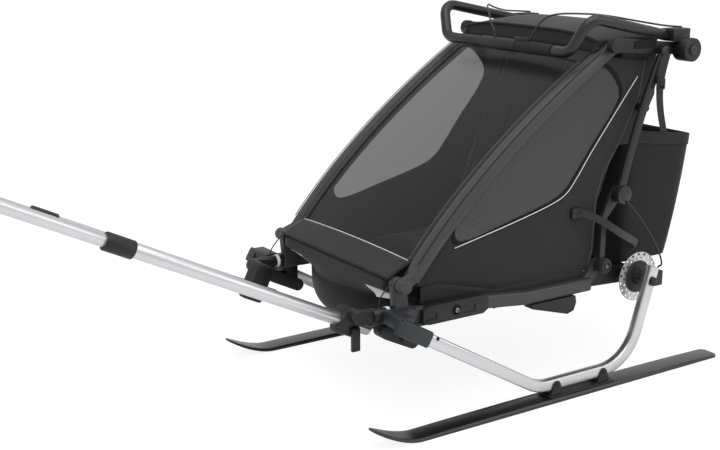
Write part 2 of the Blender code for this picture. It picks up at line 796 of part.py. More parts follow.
def make_base_frame():
    shapes = []
    cuts = []
    rail = rounded_rect(RAIL_WIDTH, RAIL_HEIGHT, RAIL_CORNER)
    for side in (1, -1):
        shapes.append(side_sweep(rail_path(), side * RAIL_X, rail))
        corner = box(
            side * POST_INNER_X, side * (RAIL_INNER_X + RAIL_WIDTH),
            CORNER_FRONT_Y, CORNER_REAR_Y, CORNER_BOTTOM_Z, CORNER_TOP_Z,
        )
        foot = ((CORNER_FRONT_Y + 0.015, CORNER_BOTTOM_Z + 0.010), 0.010)
        heel = ((CORNER_FRONT_Y + 0.034, CORNER_BOTTOM_Z + 0.010), 0.010)
        post = prism(
            hull_of(((FRONT_HINGE, FRONT_HINGE_RADIUS), foot, heel)),
            side * POST_INNER_X, side * POST_OUTER_X,
        )
        rail_end = (RAIL_REAR_Y - 0.012, RAIL_LOW_Z)
        lug = prism(
            hull_of(((LOW_PIVOT, LOW_PIVOT_RADIUS), (rail_end, RAIL_HEIGHT * 0.42))),
            side * (RAIL_INNER_X + 0.001), side * LUG_OUTER_X,
        )
        shapes += [corner, post, lug]
        cuts.append(
            disc(LOW_PIVOT, LINK_BAR_RADIUS + RUN_GAP, side * 0.28, side * 0.32, 24)
        )
        cuts.append(
            disc(FRONT_HINGE, HINGE_BAR_RADIUS + RUN_GAP, side * 0.25, side * 0.30, 24)
        )
    reach = RAIL_INNER_X + 0.006
    for y in FRAME_CROSS_YS:
        shapes.append(rod((-reach, y, FRAME_CROSS_Z), (reach, y, FRAME_CROSS_Z),
                          FRAME_CROSS_RADIUS))
    piece("base_frame", "frame_tube", shapes, cuts)


def make_rail_housings():
    grown = rounded_rect(RAIL_WIDTH + 2 * GAP, RAIL_HEIGHT + 2 * GAP, RAIL_CORNER)
    middle_z = (HOUSING_BOTTOM_Z + HOUSING_TOP_Z) / 2
    for side, word in sides():
        outline = (
            (HOUSING_FRONT_Y, HOUSING_BOTTOM_Z + 0.004),
            (HOUSING_FRONT_Y + 0.020, HOUSING_BOTTOM_Z),
            (HOUSING_REAR_Y - 0.016, HOUSING_BOTTOM_Z),
            (HOUSING_REAR_Y, HOUSING_BOTTOM_Z + 0.010),
            (HOUSING_REAR_Y, HOUSING_TOP_Z - 0.006),
            (HOUSING_REAR_Y - 0.012, HOUSING_TOP_Z),
            (HOUSING_FRONT_Y + 0.030, HOUSING_TOP_Z),
            (HOUSING_FRONT_Y, HOUSING_TOP_Z - 0.008),
        )
        shell = prism(outline, HOUSING_INNER_X, HOUSING_OUTER_X)
        channel = side_sweep(rail_path(0.02), RAIL_X, grown)
        mouth = box(
            HOUSING_INNER_X - 0.01, RAIL_X,
            HOUSING_FRONT_Y - 0.01, HOUSING_REAR_Y + 0.01,
            HOUSING_BOTTOM_Z + 0.006, HOUSING_TOP_Z - 0.004,
        )
        pocket = disc(
            (HOUSING_BUTTON_Y, middle_z), HOUSING_BUTTON_RADIUS,
            HOUSING_OUTER_X - HOUSING_RECESS, HOUSING_OUTER_X + 0.01,
        )
        piece(f"{word}_rail_housing", "black_shell", [shell],
              [channel, mouth, pocket], side=side)


def make_hitch_sockets():
    for side, word in sides():
        body = prism(
            hull_of(((SOCKET_FRONT, SOCKET_HALF_DEPTH), (SOCKET_REAR, SOCKET_HALF_DEPTH))),
            SOCKET_INNER_X, SOCKET_INNER_X + SOCKET_WIDTH,
        )
        neck = box(
            SOCKET_INNER_X + 0.001, RAIL_INNER_X + RAIL_WIDTH - 0.004,
            CORNER_FRONT_Y + 0.008, RAIL_FRONT_Y - 2 * RUN_GAP,
            SOCKET_REAR[1] + 0.006, CORNER_BOTTOM_Z - GAP,
        )
        piece(f"{word}_hitch_socket", "black_shell", [body, neck], side=side)


def make_suspension_blocks():
    top = RAIL_BOTTOM_Z - GAP
    outline = (
        (BLOCK_FRONT_Y, top),
        (BLOCK_FRONT_Y + 0.004, top - BLOCK_DROP * 0.25),
        (BLOCK_REAR_Y - 0.030, top - BLOCK_DROP),
        (BLOCK_REAR_Y - 0.008, top - BLOCK_DROP * 0.85),
        (BLOCK_REAR_Y, top - BLOCK_DROP * 0.4),
        (BLOCK_REAR_Y - 0.004, top),
    )
    for side, word in sides():
        x0 = RAIL_X - BLOCK_WIDTH / 2
        piece(f"{word}_suspension_block", "black_shell",
              [prism(outline, x0, x0 + BLOCK_WIDTH)], side=side)


# Floor and footwell

def nose_sweep(x):
    return NOSE_SWEEP * (abs(x) / TUB_HALF_WIDTH) ** 2


def tub_ring(x, shrink, rim_z, lid_z):
    share = min(1.0, abs(x) / (TUB_HALF_WIDTH - shrink))
    sweep = nose_sweep(x)
    half = TUB_HALF_LENGTH - shrink - sweep / 2
    depth = (TUB_DEPTH - shrink) * (1 - TUB_SIDE_RISE * share**3)
    steps = 10
    ring = []
    for i in range(steps + 1):
        a = pi * i / steps
        inset = 1 - TUB_END_TAPER * share**3 * sin(a)
        y = TUB_MIDDLE_Y + sweep / 2 - half * inset * abs(cos(a)) ** 0.7 * (1 if cos(a) > 0 else -1)
        ring.append((x, y, rim_z - depth * max(0.0, sin(a)) ** 0.55))
    ring[0] = (x, ring[0][1], lid_z)
    ring[-1] = (x, ring[-1][1], lid_z)
    return ring


def make_footwell():
    stations = 10
    rim = FLOOR_TOP_Z - 0.001
    outer = []
    inner = []
    for i in range(stations + 1):
        share = -cos(pi * i / stations)
        outer.append(tub_ring(TUB_HALF_WIDTH * share, 0.0, rim - 0.001, rim))
        width = TUB_HALF_WIDTH - TUB_WALL
        inner.append(tub_ring(width * share, TUB_WALL, rim, FLOOR_TOP_Z + 0.02))
    floor = box(
        -RAIL_INNER_X + GAP, RAIL_INNER_X - GAP,
        TUB_MIDDLE_Y + TUB_HALF_LENGTH - 0.012, FLOOR_REAR_Y,
        FLOOR_TOP_Z - FLOOR_THICKNESS, FLOOR_TOP_Z,
    )
    foot_y = TUB_MIDDLE_Y - TUB_HALF_LENGTH
    nose_half = TUB_HALF_WIDTH * 0.98
    nose_foot_z = FLOOR_TOP_Z - 0.012
    nose = []
    for i in range(9):
        x = nose_half * (i / 4 - 1)
        front = []
        for height in (0.0, 0.3, 0.5, 0.7, 1.0):
            turn = min(1.0, max(0.0, (height - 0.1) / 0.65))
            y = foot_y + nose_sweep(x) * (1 - turn * turn * (3 - 2 * turn)) + NOSE_LEAN * height
            front.append((x, y + 0.0005, nose_foot_z + (NOSE_TOP_Z - nose_foot_z) * height))
        back = [(x, y + TUB_WALL - 0.001, z) for x, y, z in reversed(front)]
        nose.append(front + back)
    piece("footwell_tub", "panel_fabric", [loft(outer), floor, loft(nose)], [loft(inner)])


# Rear axle beam, hubs, rotors and calipers

def make_axle_beam():
    axle = (0.0, AXLE_Z)
    shapes = []
    for side in (1, -1):
        arm = prism(
            hull_of((
                ((BEAM_ARM_FRONT_Y + BEAM_ARM_HALF_HEIGHT, RAIL_LOW_Z), BEAM_ARM_HALF_HEIGHT),
                (axle, BEAM_BOSS_RADIUS),
                ((CALIPER_REAR_Y - 0.014, (CALIPER_BOTTOM_Z + CALIPER_TOP_Z) / 2), 0.014),
            )),
            side * BEAM_ARM_INNER_X, side * BEAM_ARM_OUTER_X,
        )
        boss = disc(axle, BEAM_BOSS_RADIUS - 0.002,
                    side * (BEAM_ARM_OUTER_X - 0.003), side * (HUB_INNER_X - GAP))
        shapes += [arm, boss]
    reach = BEAM_ARM_INNER_X + 0.004
    shapes.append(rod((-reach, BEAM_Y, BEAM_Z), (reach, BEAM_Y, BEAM_Z), BEAM_RADIUS))
    piece("rear_axle_beam", "black_shell", shapes)


def make_hubs():
    axle = (0.0, AXLE_Z)
    for side, word in sides():
        barrel = disc(axle, HUB_RADIUS, HUB_INNER_X, HUB_OUTER_X, 24)
        carrier = disc(axle, HUB_CARRIER_RADIUS,
                       ROTOR_X - HUB_CARRIER_HALF, ROTOR_X + HUB_CARRIER_HALF, 24)
        bore = disc(axle, STUB_RADIUS + RUN_GAP, STUB_INNER_X - 0.002, HUB_OUTER_X + 0.01, 24)
        piece(f"{word}_hub", "black_shell", [barrel, carrier], [bore],
              origin=at(ROTOR_X, axle), side=side)
        ring = disc(axle, ROTOR_RADIUS, ROTOR_X - ROTOR_THICKNESS / 2,
                    ROTOR_X + ROTOR_THICKNESS / 2, 36)
        window = disc(axle, ROTOR_INNER_RADIUS, ROTOR_X - 0.01, ROTOR_X + 0.01, 24)
        holes = [
            disc((a, AXLE_Z + b), ROTOR_HOLE_RADIUS, ROTOR_X - 0.01, ROTOR_X + 0.01, 6)
            for a, b in circle((ROTOR_RADIUS + ROTOR_INNER_RADIUS) / 2, ROTOR_HOLES)
        ]
        piece(f"{word}_brake_rotor", "rotor_steel", [ring], [window] + holes,
              origin=at(ROTOR_X, axle), side=side)


def make_calipers():
    for side, word in sides():
        body = box(
            RAIL_INNER_X, CALIPER_OUTER_X, CALIPER_FRONT_Y, CALIPER_REAR_Y,
            CALIPER_BOTTOM_Z, CALIPER_TOP_Z,
        )
        slot = box(
            ROTOR_X - CALIPER_SLOT / 2, ROTOR_X + CALIPER_SLOT / 2,
            CALIPER_FRONT_Y - 0.01, ROTOR_RADIUS + 0.003,
            CALIPER_BOTTOM_Z - 0.01, CALIPER_TOP_Z + 0.01,
        )
        piece(f"{word}_brake_caliper", "black_shell", [body], [slot], side=side)


# Hitch arms, pole clamps, levers and telescopic poles

def pole_frame(side):
    along = Vector((0, -cos(POLE_PITCH), sin(POLE_PITCH)))
    down = Vector((0, -sin(POLE_PITCH), -cos(POLE_PITCH)))
    origin = Vector(at(POLE_X, CLAMP_PIVOT)) + down * POLE_DROPS[side]
    return origin, along, down


def make_clamp_arms():
    for side, word in sides():
        arm = rod((ARM_X, CORNER_FRONT_Y - GAP, ARM_Z), (ARM_X, ARM_FRONT_Y, ARM_Z),
                  ARM_RADIUS, 20)
        neck = ((ARM_FRONT_Y + 0.014, ARM_Z), ARM_RADIUS - 0.003)
        lug = prism(
            hull_of(((CLAMP_PIVOT, CLAMP_LUG_RADIUS), neck)),
            CLAMP_LUG_INNER_X, ARM_X + 0.004,
        )
        piece(f"{word}_clamp_arm", "black_shell", [arm, lug], side=side)


def clamp_block(origin, along, down, drop):
    # The head reaches from above its pivot to below the pole it grips
    half = REAR_POLE_RADIUS + CLAMP_WALL
    top = -(drop + CLAMP_TOP_RISE)
    bottom = half + CLAMP_TAIL
    corners = []
    for reach in (-CLAMP_HALF_LENGTH, CLAMP_HALF_LENGTH):
        centre = origin + along * reach
        ring = []
        for a, b in rounded_rect(2 * half, bottom - top, 0.012, 2):
            ring.append(centre + X_AXIS * a + down * (b + (top + bottom) / 2))
        corners.append(ring)
    return loft(corners)


def make_clamps_and_poles():
    for side, word in sides():
        origin, along, down = pole_frame(side)
        pivot = at(POLE_X, CLAMP_PIVOT)
        half = REAR_POLE_RADIUS + CLAMP_WALL
        block = clamp_block(origin, along, down, POLE_DROPS[side])
        boss = disc(CLAMP_PIVOT, CLAMP_LUG_RADIUS, POLE_X + 0.006,
                    CLAMP_LUG_INNER_X - GAP)
        lever_y = CLAMP_PIVOT[0]
        lever_z = CLAMP_PIVOT[1] - LEVER_DROP
        bore_radius = REAR_POLE_RADIUS + POLE_BORE_CLEARANCE
        bore = rod(origin - along * 0.06, origin + along * 0.06, bore_radius, 28)
        piece(f"{word}_clamp_head", "black_shell", [block, boss], [bore],
              origin=pivot, side=side)

        lever_x = POLE_X + half + GAP + LEVER_THICKNESS / 2
        pin = (lever_x, lever_y, lever_z)
        blade = box(
            lever_x - LEVER_THICKNESS / 2, lever_x + LEVER_THICKNESS / 2,
            lever_y - LEVER_WIDTH / 2, lever_y + LEVER_WIDTH / 2,
            lever_z - LEVER_LENGTH, lever_z,
        )
        barrel = rod(
            (lever_x, lever_y - LEVER_WIDTH / 2, lever_z),
            (lever_x, lever_y + LEVER_WIDTH / 2, lever_z),
            LEVER_THICKNESS / 2 - 0.0001, 14,
        )
        piece(f"{word}_clamp_lever", "black_shell", [blade, barrel], origin=pin, side=side)

        back = origin - along * REAR_POLE_BACK
        front = origin + along * REAR_POLE_FORWARD
        outer = rod(back, front, REAR_POLE_RADIUS, 20)
        hollow = rod(back - along * 0.01, front + along * 0.01,
                     FRONT_POLE_RADIUS + POLE_BORE_CLEARANCE, 20)
        piece(f"{word}_rear_pole", "bright_aluminium", [outer], [hollow],
              origin=pivot, side=side)

        collar_back = front - along * COLLAR_LENGTH
        collar = rod(collar_back, front + along * 0.012, REAR_POLE_RADIUS + COLLAR_WALL, 20)
        seat = rod(collar_back - along * 0.01, front + along * GAP,
                   REAR_POLE_RADIUS + POLE_BORE_CLEARANCE, 20)
        throat = rod(front - along * 0.01, front + along * 0.03,
                     FRONT_POLE_RADIUS + POLE_BORE_CLEARANCE, 20)
        piece(f"{word}_pole_collar", "black_shell", [collar], [seat, throat],
              origin=pivot, side=side)

        tail = front - along * FRONT_POLE_INSERT
        tip = front + along * FRONT_POLE_REACH
        inner = rod(tail, tip, FRONT_POLE_RADIUS, 20)
        core = rod(tail - along * 0.01, tip - along * FRONT_POLE_PLUG,
                   FRONT_POLE_RADIUS - FRONT_POLE_WALL, 20)
        piece(f"{word}_front_pole", "bright_aluminium", [inner], [core],
              origin=pivot, side=side)


# Front frame: two curved tubes on the hinge bar

def make_front_frame():
    profile = rounded_rect(TUBE_WIDTH, TUBE_DEPTH, TUBE_CORNER)
    shapes = []
    for side in (1, -1):
        path = tube_run(TUBE_FIRST_T, 1.0, TUBE_STATIONS)
        shapes.append(side_sweep(path, side * TUBE_X, profile))
        foot = tube_point(TUBE_FIRST_T + 0.02)
        web = prism(
            hull_of(((FRONT_HINGE, FRONT_HINGE_RADIUS - 0.002), (foot, 0.012))),
            side * (POST_OUTER_X + GAP), side * (TUBE_OUTER_X - 0.001),
        )
        boss = disc(FRONT_HINGE, FRONT_HINGE_RADIUS - 0.002,
                    side * (POST_OUTER_X + GAP), side * HINGE_BOSS_OUTER_X)
        shapes += [web, boss]
    reach = POST_OUTER_X + 0.006
    shapes.append(rod(at(-reach, FRONT_HINGE), at(reach, FRONT_HINGE), HINGE_BAR_RADIUS))
    piece("front_frame", "frame_tube", shapes, origin=at(0, FRONT_HINGE))


# Brackets, handle hubs, release buttons

def make_top_brackets():
    for side, word in sides():
        plate = prism(
            hull_of(((TOP_BOSS, BRACKET_FRONT_RADIUS), (HANDLE_PIVOT, BRACKET_REAR_RADIUS))),
            BRACKET_INNER_X, BRACKET_OUTER_X,
        )
        cap = disc(TOP_BOSS, BRACKET_CAP_RADIUS,
                   BRACKET_INNER_X + 0.001, BRACKET_CAP_OUTER_X, 24)
        piece(f"{word}_top_bracket", "black_shell", [plate, cap],
              origin=at(0, FRONT_HINGE), side=side)


def make_handle_hubs():
    for side, word in sides():
        start = BRACKET_OUTER_X + GAP
        barrel = disc(HANDLE_PIVOT, HANDLE_HUB_RADIUS, start, HANDLE_HUB_OUTER_X, 28)
        socket = box(
            BAR_ARM_X - 0.018, BAR_ARM_X + 0.028,
            HANDLE_SOCKET_FRONT_Y, HANDLE_SOCKET_REAR_Y,
            HANDLE_SOCKET_BOTTOM_Z, HANDLE_SOCKET_TOP_Z,
        )
        pocket = disc(HANDLE_PIVOT, RELEASE_RADIUS + RUN_GAP,
                      HANDLE_HUB_OUTER_X - RELEASE_DEPTH, HANDLE_HUB_OUTER_X + 0.01, 24)
        piece(f"{word}_handle_hub", "black_shell", [barrel, socket], [pocket],
              origin=at(start, HANDLE_PIVOT), side=side)
        face_x = HANDLE_HUB_OUTER_X + RELEASE_OUT
        button = disc(HANDLE_PIVOT, RELEASE_RADIUS,
                      HANDLE_HUB_OUTER_X - RELEASE_DEPTH + RELEASE_OUT + 0.001, face_x, 24)
        piece(f"{word}_release_button", "grip_rubber", [button],
              origin=at(face_x, HANDLE_PIVOT), side=side)


def bar_half(side, inner_x):
    points = (
        (side * BAR_ARM_X, BAR_ARM_REAR[0], BAR_ARM_REAR[1]),
        (side * BAR_SHOULDER[0], BAR_SHOULDER[1], BAR_SHOULDER[2]),
        (side * BAR_CROSS[0], BAR_CROSS[1], BAR_CROSS[2]),
        (inner_x, BAR_CROSS[1], BAR_CROSS[2]),
    )
    return fillet(points, BAR_BEND_RADIUS, 7)


def make_handlebar():
    y, z = BAR_CROSS[1], BAR_CROSS[2]
    left = round_sweep(bar_half(1, GRIP_LEFT_X), BAR_RADIUS)
    right = round_sweep(bar_half(-1, GRIP_RIGHT_X), BAR_RADIUS)
    core = rod((GRIP_RIGHT_X - 0.012, y, z), (GRIP_LEFT_X + 0.012, y, z), BAR_CORE_RADIUS)
    pivot = at(0, HANDLE_PIVOT)
    piece("handlebar", "frame_tube", [left, core, right], origin=pivot)

    bore = rod((GRIP_RIGHT_X - 0.05, y, z), (GRIP_LEFT_X + 0.05, y, z),
               BAR_CORE_RADIUS + RUN_GAP, 24)
    sleeve = rod((GRIP_SEAM_X + RUN_GAP, y, z), (GRIP_LEFT_X - RUN_GAP, y, z), GRIP_RADIUS, 24)
    piece("twist_grip", "grip_rubber", [sleeve], [bore],
          origin=(GRIP_LEFT_X, y, z))
    body = rod((GRIP_RIGHT_X + RUN_GAP, y, z), (GRIP_SEAM_X - RUN_GAP, y, z),
               HOUSING_GRIP_RADIUS, 24)
    stop_z = z + GRIP_RADIUS + CABLE_STOP_LIFT
    top_z = z + CABLE_STOP_TOP
    radius = CABLE_STOP_RADIUS
    stops = [
        box(LEFT_STOP_FOOT_X, LEFT_STOP_END_X, y - radius, y + radius, stop_z, top_z),
        box(LEFT_STOP_FOOT_X, GRIP_SEAM_X - 0.002, y - radius, y + radius,
            z + BAR_CORE_RADIUS + 0.002, stop_z + 0.002),
        rod((RIGHT_STOP_X, y, z + BAR_CORE_RADIUS + 0.002), (RIGHT_STOP_X, y, top_z),
            radius, 12),
    ]
    piece("grip_housing", "black_shell", [body] + stops, [bore], origin=pivot)


# Uprights and lower links, the rear half of the folding linkage

def upright_path():
    top = Vector(UPRIGHT_TOP)
    run = Vector(MID_PIVOT) - top
    across = Vector((-run.y, run.x)).normalized()
    points = []
    for i in range(9):
        share = i / 8
        bow = UPRIGHT_BOW * 4 * share * (1 - share)
        point = top + run * share - across * bow
        points.append((point.x, point.y))
    return points


def seat_back_slope():
    return atan2(SEAT_BACK_TOP[1] - SEAT_BACK_BOTTOM[1], SEAT_BACK_TOP[0] - SEAT_BACK_BOTTOM[0])


def cross_bar_centre():
    slope = seat_back_slope()
    y = line_y(SEAT_BACK_BOTTOM, slope, UPRIGHT_CROSS_HEIGHT)
    reach = SEAT_BACK_THICKNESS / 2 + RUN_GAP + UPRIGHT_CROSS_RADIUS
    return beside((y, UPRIGHT_CROSS_HEIGHT), 0.0, -reach, slope)


def cross_bar_end():
    # Each end runs behind the side panel's rear edge
    low, high = PANEL_REAR_EDGE
    slope = atan2(high[1] - low[1], high[0] - low[0])
    y = line_y(low, slope, UPRIGHT_CROSS_HEIGHT)
    reach = UPRIGHT_CROSS_RADIUS + PANEL_TO_CROSS
    return beside((y, UPRIGHT_CROSS_HEIGHT), 0.0, -reach, slope)


def cross_bar_foot(end):
    # Where the bar enters the upright, seated behind the upright's middle line
    path = upright_path()
    for (y0, z0), (y1, z1) in zip(path, path[1:]):
        if min(z0, z1) <= end[1] <= max(z0, z1):
            return y0 + (y1 - y0) * (end[1] - z0) / (z1 - z0) + UPRIGHT_CROSS_SEAT, end[1]
    return end


def make_uprights():
    profile = rounded_rect(UPRIGHT_THICKNESS, UPRIGHT_WIDTH, 0.004, 1)
    outer = UPRIGHT_INNER_X + UPRIGHT_THICKNESS
    bar = cross_bar_centre()
    end = cross_bar_end()
    shapes = []
    for side in (1, -1):
        shapes.append(side_sweep(upright_path(), side * UPRIGHT_X, profile))
        shapes.append(disc(UPRIGHT_TOP, UPRIGHT_TOP_RADIUS,
                           side * UPRIGHT_INNER_X, side * (outer + 0.003)))
        shapes.append(disc(MID_PIVOT, UPRIGHT_CAP_RADIUS,
                           side * UPRIGHT_INNER_X, side * UPRIGHT_CAP_OUTER_X, 24))
    reach = UPRIGHT_INNER_X + 0.004
    middle_x, end_x = UPRIGHT_CROSS_STEP_X
    foot = cross_bar_foot(end)
    half = [at(reach, foot), at(end_x, end), at(middle_x, bar)]
    other = [(-x, y, z) for x, y, z in reversed(half)]
    shapes.append(round_sweep(fillet(half + other, UPRIGHT_CROSS_BEND), UPRIGHT_CROSS_RADIUS))
    piece("rear_uprights", "frame_tube", shapes, origin=at(0, UPRIGHT_TOP))


def make_links():
    shapes = []
    outer = LINK_INNER_X + LINK_THICKNESS
    knee = (LOW_PIVOT[0] + 0.003, MID_PIVOT[1] - 0.060)
    for side in (1, -1):
        lower = prism(
            hull_of(((LOW_PIVOT, LINK_WIDTH / 2), (knee, LINK_WIDTH / 2)), 12),
            side * LINK_INNER_X, side * outer,
        )
        upper = prism(
            hull_of(((knee, LINK_WIDTH / 2), (MID_PIVOT, LINK_BOSS_RADIUS))),
            side * LINK_INNER_X, side * outer,
        )
        cap = disc(LOW_PIVOT, LINK_CAP_RADIUS, side * LINK_INNER_X,
                   side * LINK_CAP_OUTER_X, 24)
        shapes += [lower, upper, cap]
    reach = LINK_INNER_X + 0.004
    shapes.append(rod(at(-reach, LOW_PIVOT), at(reach, LOW_PIVOT), LINK_BAR_RADIUS))
    piece("lower_links", "link_aluminium", shapes, origin=at(0, LOW_PIVOT))


# Fabric pieces

def panel_outline():
    across = -(TUBE_DEPTH / 2 + GAP)
    top = tube_run(0.13, 0.99, 12, across)
    outline = [
        (-0.662, 0.352),
        (-0.470, PANEL_BOTTOM_Z),
        (-0.148, PANEL_BOTTOM_Z),
        (LOW_PIVOT[0] - 0.010, LOW_PIVOT[1] + 0.034),
        (MID_PIVOT[0] - 0.050, MID_PIVOT[1] - 0.015),
        (MID_PIVOT[0] - 0.028, MID_PIVOT[1] + 0.050),
        PANEL_REAR_EDGE[0],
        PANEL_REAR_EDGE[1],
        (0.030, 0.865),
    ]
    return outline + list(reversed(top))


def make_side_panels():
    for side, word in sides():
        sheet = prism(panel_outline(), PANEL_INNER_X, PANEL_INNER_X + PANEL_THICKNESS)
        piece(f"{word}_side_panel", "panel_fabric", [sheet], side=side)


def cover_line(across):
    run = tube_run(COVER_FIRST_T, COVER_LAST_T, 11, across)
    return list(COVER_LIP) + run


def make_front_cover():
    rings = []
    count = 9
    half = TUBE_INNER_X - GAP
    base = TUBE_DEPTH / 2 - COVER_RECESS
    for i in range(count):
        x = half * (2 * i / (count - 1) - 1)
        crown = COVER_CROWN * (1 - (x / half) ** 2)
        top = cover_line(base + crown)
        under = []
        for index, point in enumerate(cover_line(base + crown - COVER_THICKNESS)):
            drop = COVER_THICKNESS if index < len(COVER_LIP) else 0.0
            under.append((point[0], point[1] - drop))
        outline = top + list(reversed(under))
        rings.append([(x, y, z) for y, z in outline])
    piece("front_cover", "panel_fabric", [loft(rings)], origin=at(0, FRONT_HINGE))


def roof_z(x, share):
    across = 1 - (x / ROOF_HALF_WIDTH) ** 4
    along = 0.35 + 0.65 * sin(pi * (0.08 + 0.72 * share))
    return ROOF_SIDE_Z + ROOF_CROWN * across * along


def make_roof():
    cover_end = tube_point(COVER_LAST_T, TUBE_DEPTH / 2 - COVER_RECESS + COVER_CROWN)
    front_y = cover_end[0] + RUN_GAP
    rows = 8
    columns = 10
    rings = []
    for i in range(rows + 1):
        share = i / rows
        y = front_y + (ROOF_REAR_Y - front_y) * share
        lip = ROOF_LIP_DROP if i == 0 else 0.0
        xs = [ROOF_HALF_WIDTH * (2 * j / columns - 1) for j in range(columns + 1)]
        top = [(x, y, roof_z(x, share)) for x in xs]
        under = [(x, y, roof_z(x, share) - ROOF_THICKNESS - lip) for x in reversed(xs)]
        rings.append(top + under)
    piece("roof_canopy", "panel_fabric", [loft(rings)], origin=at(0, FRONT_HINGE))


def make_seat_back():
    slope = seat_back_slope()
    half = SEAT_BACK_THICKNESS / 2
    outline = (
        beside(SEAT_BACK_BOTTOM, 0.0, half, slope),
        beside(SEAT_BACK_BOTTOM, 0.0, -half, slope),
        beside(SEAT_BACK_TOP, 0.0, -half, slope),
        beside(SEAT_BACK_TOP, 0.0, half, slope),
    )
    piece("seat_back", "cushion_fabric",
          [prism(outline, -SEAT_BACK_HALF_WIDTH, SEAT_BACK_HALF_WIDTH)])


def make_cushion():
    middle_y = (CUSHION_FRONT_Y + CUSHION_REAR_Y) / 2
    half_y = (CUSHION_REAR_Y - CUSHION_FRONT_Y) / 2
    bottom = FLOOR_TOP_Z + GAP
    layers = ((0.0, -CUSHION_DRAW_IN), (0.25, 0.0), (0.62, 0.0), (0.84, -0.008), (0.94, -0.022))
    corners = 40
    rings = []
    for height, grow in layers:
        ring = []
        for i in range(corners):
            a = 2 * pi * i / corners
            draw = CUSHION_DRAW_IN * 0.5 * (abs(cos(a) * sin(a)) * 2 - 1)
            x = (CUSHION_HALF_WIDTH + grow + draw) * abs(cos(a)) ** 0.35 * (1 if cos(a) > 0 else -1)
            y = (half_y + grow + draw) * abs(sin(a)) ** 0.35 * (1 if sin(a) > 0 else -1)
            ring.append((x, middle_y + y, bottom + CUSHION_HEIGHT * height * 0.8))
        rings.append(ring)
    for shrink in (0.72, 0.42, 0.14):
        crown = bottom + CUSHION_HEIGHT * (0.8 + 0.2 * (1 - shrink**2))
        rings.append([
            (x * shrink, middle_y + (y - middle_y) * shrink, crown)
            for x, y, _ in rings[len(layers) - 1]
        ])
    piece("seat_cushion", "cushion_fabric", [loft(rings)])


def bag_ring(share, shrink, floor_z):
    half = BAG_HALF_BOTTOM + (BAG_HALF_TOP - BAG_HALF_BOTTOM) * share - shrink
    front = BAG_FRONT_BOTTOM_Y + (BAG_FRONT_TOP_Y - BAG_FRONT_BOTTOM_Y) * share + shrink
    belly = 0.012 * sin(pi * share)
    rear = BAG_REAR_BOTTOM_Y + (BAG_REAR_TOP_Y - BAG_REAR_BOTTOM_Y) * share + belly - shrink
    ring = []
    middle = (front + rear) / 2
    for a, b in rounded_rect(2 * half, rear - front, BAG_CORNER - shrink, 3):
        y = middle + b
        rim = BAG_FRONT_TOP_Z + (BAG_REAR_TOP_Z - BAG_FRONT_TOP_Z) * (y - front) / (rear - front)
        ring.append((a, y, floor_z + (rim - floor_z) * share))
    return ring


def make_bag():
    steps = [i / BAG_STATIONS for i in range(BAG_STATIONS + 1)]
    rings = [bag_ring(share, 0.0, BAG_BOTTOM_Z) for share in steps]
    rings += [bag_ring(share, BAG_WALL, BAG_BOTTOM_Z + BAG_WALL) for share in reversed(steps)]
    piece("cargo_bag", "bag_fabric", [loft(rings)])


# Brake cables

def make_cables():
    stop_y = BAR_CROSS[1]
    top_z = BAR_CROSS[2] + CABLE_STOP_TOP
    left_z = BAR_CROSS[2] + (GRIP_RADIUS + CABLE_STOP_LIFT + CABLE_STOP_TOP) / 2
    rest_z = HANDLE_SOCKET_TOP_Z + CABLE_RADIUS + CABLE_REST
    pivot = at(0, HANDLE_PIVOT)
    cable("left_upper_brake_cable", (
        (LEFT_STOP_END_X + CABLE_END_GAP, stop_y, left_z),
        (LEFT_STOP_END_X + 0.006, stop_y, left_z + 0.001),
        (0.1135, -0.217, 0.945),
        (0.1255, -0.195, 0.9750),
        (0.1502, -0.165, 0.9877),
        (0.1980, -0.110, 0.9885),
        (0.2343, -0.070, 0.9845),
        (0.2820, 0.000, 0.9700),
        (0.3080, 0.060, 0.9590),
        (0.3130, 0.098, rest_z + 0.003),
        (0.3140, 0.130, rest_z),
    ), origin=pivot)
    cable("right_upper_brake_cable", (
        (RIGHT_STOP_X, stop_y, top_z + CABLE_END_GAP),
        (RIGHT_STOP_X, stop_y, top_z + 0.008),
        (-0.0650, -0.222, 0.9500),
        (-0.0916, -0.210, 0.9759),
        (-0.1226, -0.190, 0.9913),
        (-0.1486, -0.165, 0.9950),
        (-0.1850, -0.120, 0.9850),
        (-0.2450, -0.040, 0.9700),
        (-0.2900, 0.030, 0.9600),
        (-0.3040, 0.098, rest_z + 0.003),
        (-0.3050, 0.130, rest_z),
    ), origin=pivot)
    for side, word in sides():
        cable(f"{word}_lower_brake_cable", (
            (UPRIGHT_CAP_OUTER_X + CABLE_RADIUS + GAP, MID_PIVOT[0] + 0.006, MID_PIVOT[1] - 0.018),
            (0.3495, -0.036, 0.460),
            (0.3500, 0.016, 0.398),
            (0.3500, 0.058, 0.338),
            (0.3485, 0.075, 0.300),
            (0.3360, 0.0765, CALIPER_TOP_Z + 0.012),
            (0.3360, 0.0765, CALIPER_TOP_Z + CABLE_END_GAP),
        ), side=side)


for old in list(bpy.data.objects):
    bpy.data.objects.remove(old, do_unlink=True)

ROOT = bpy.data.objects.new("trailer", None)
ROOT.location = (0, AXLE_Y, 0)
bpy.context.scene.collection.objects.link(ROOT)

make_skis()
make_ski_mounts()
make_ski_legs()
make_leg_sleeves()
make_base_frame()
make_rail_housings()
make_hitch_sockets()
make_suspension_blocks()
make_footwell()
make_axle_beam()
make_hubs()
make_calipers()
make_clamp_arms()
make_clamps_and_poles()
make_front_frame()
make_top_brackets()
make_handle_hubs()
make_handlebar()
make_uprights()
make_links()
make_side_panels()
make_front_cover()
make_roof()
make_seat_back()
make_cushion()
make_bag()
make_cables()
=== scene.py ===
import bpy
import bmesh
import json
from functools import partial
from math import atan2, copysign, cos, hypot, pi, radians, sin
from mathutils import Matrix, Vector

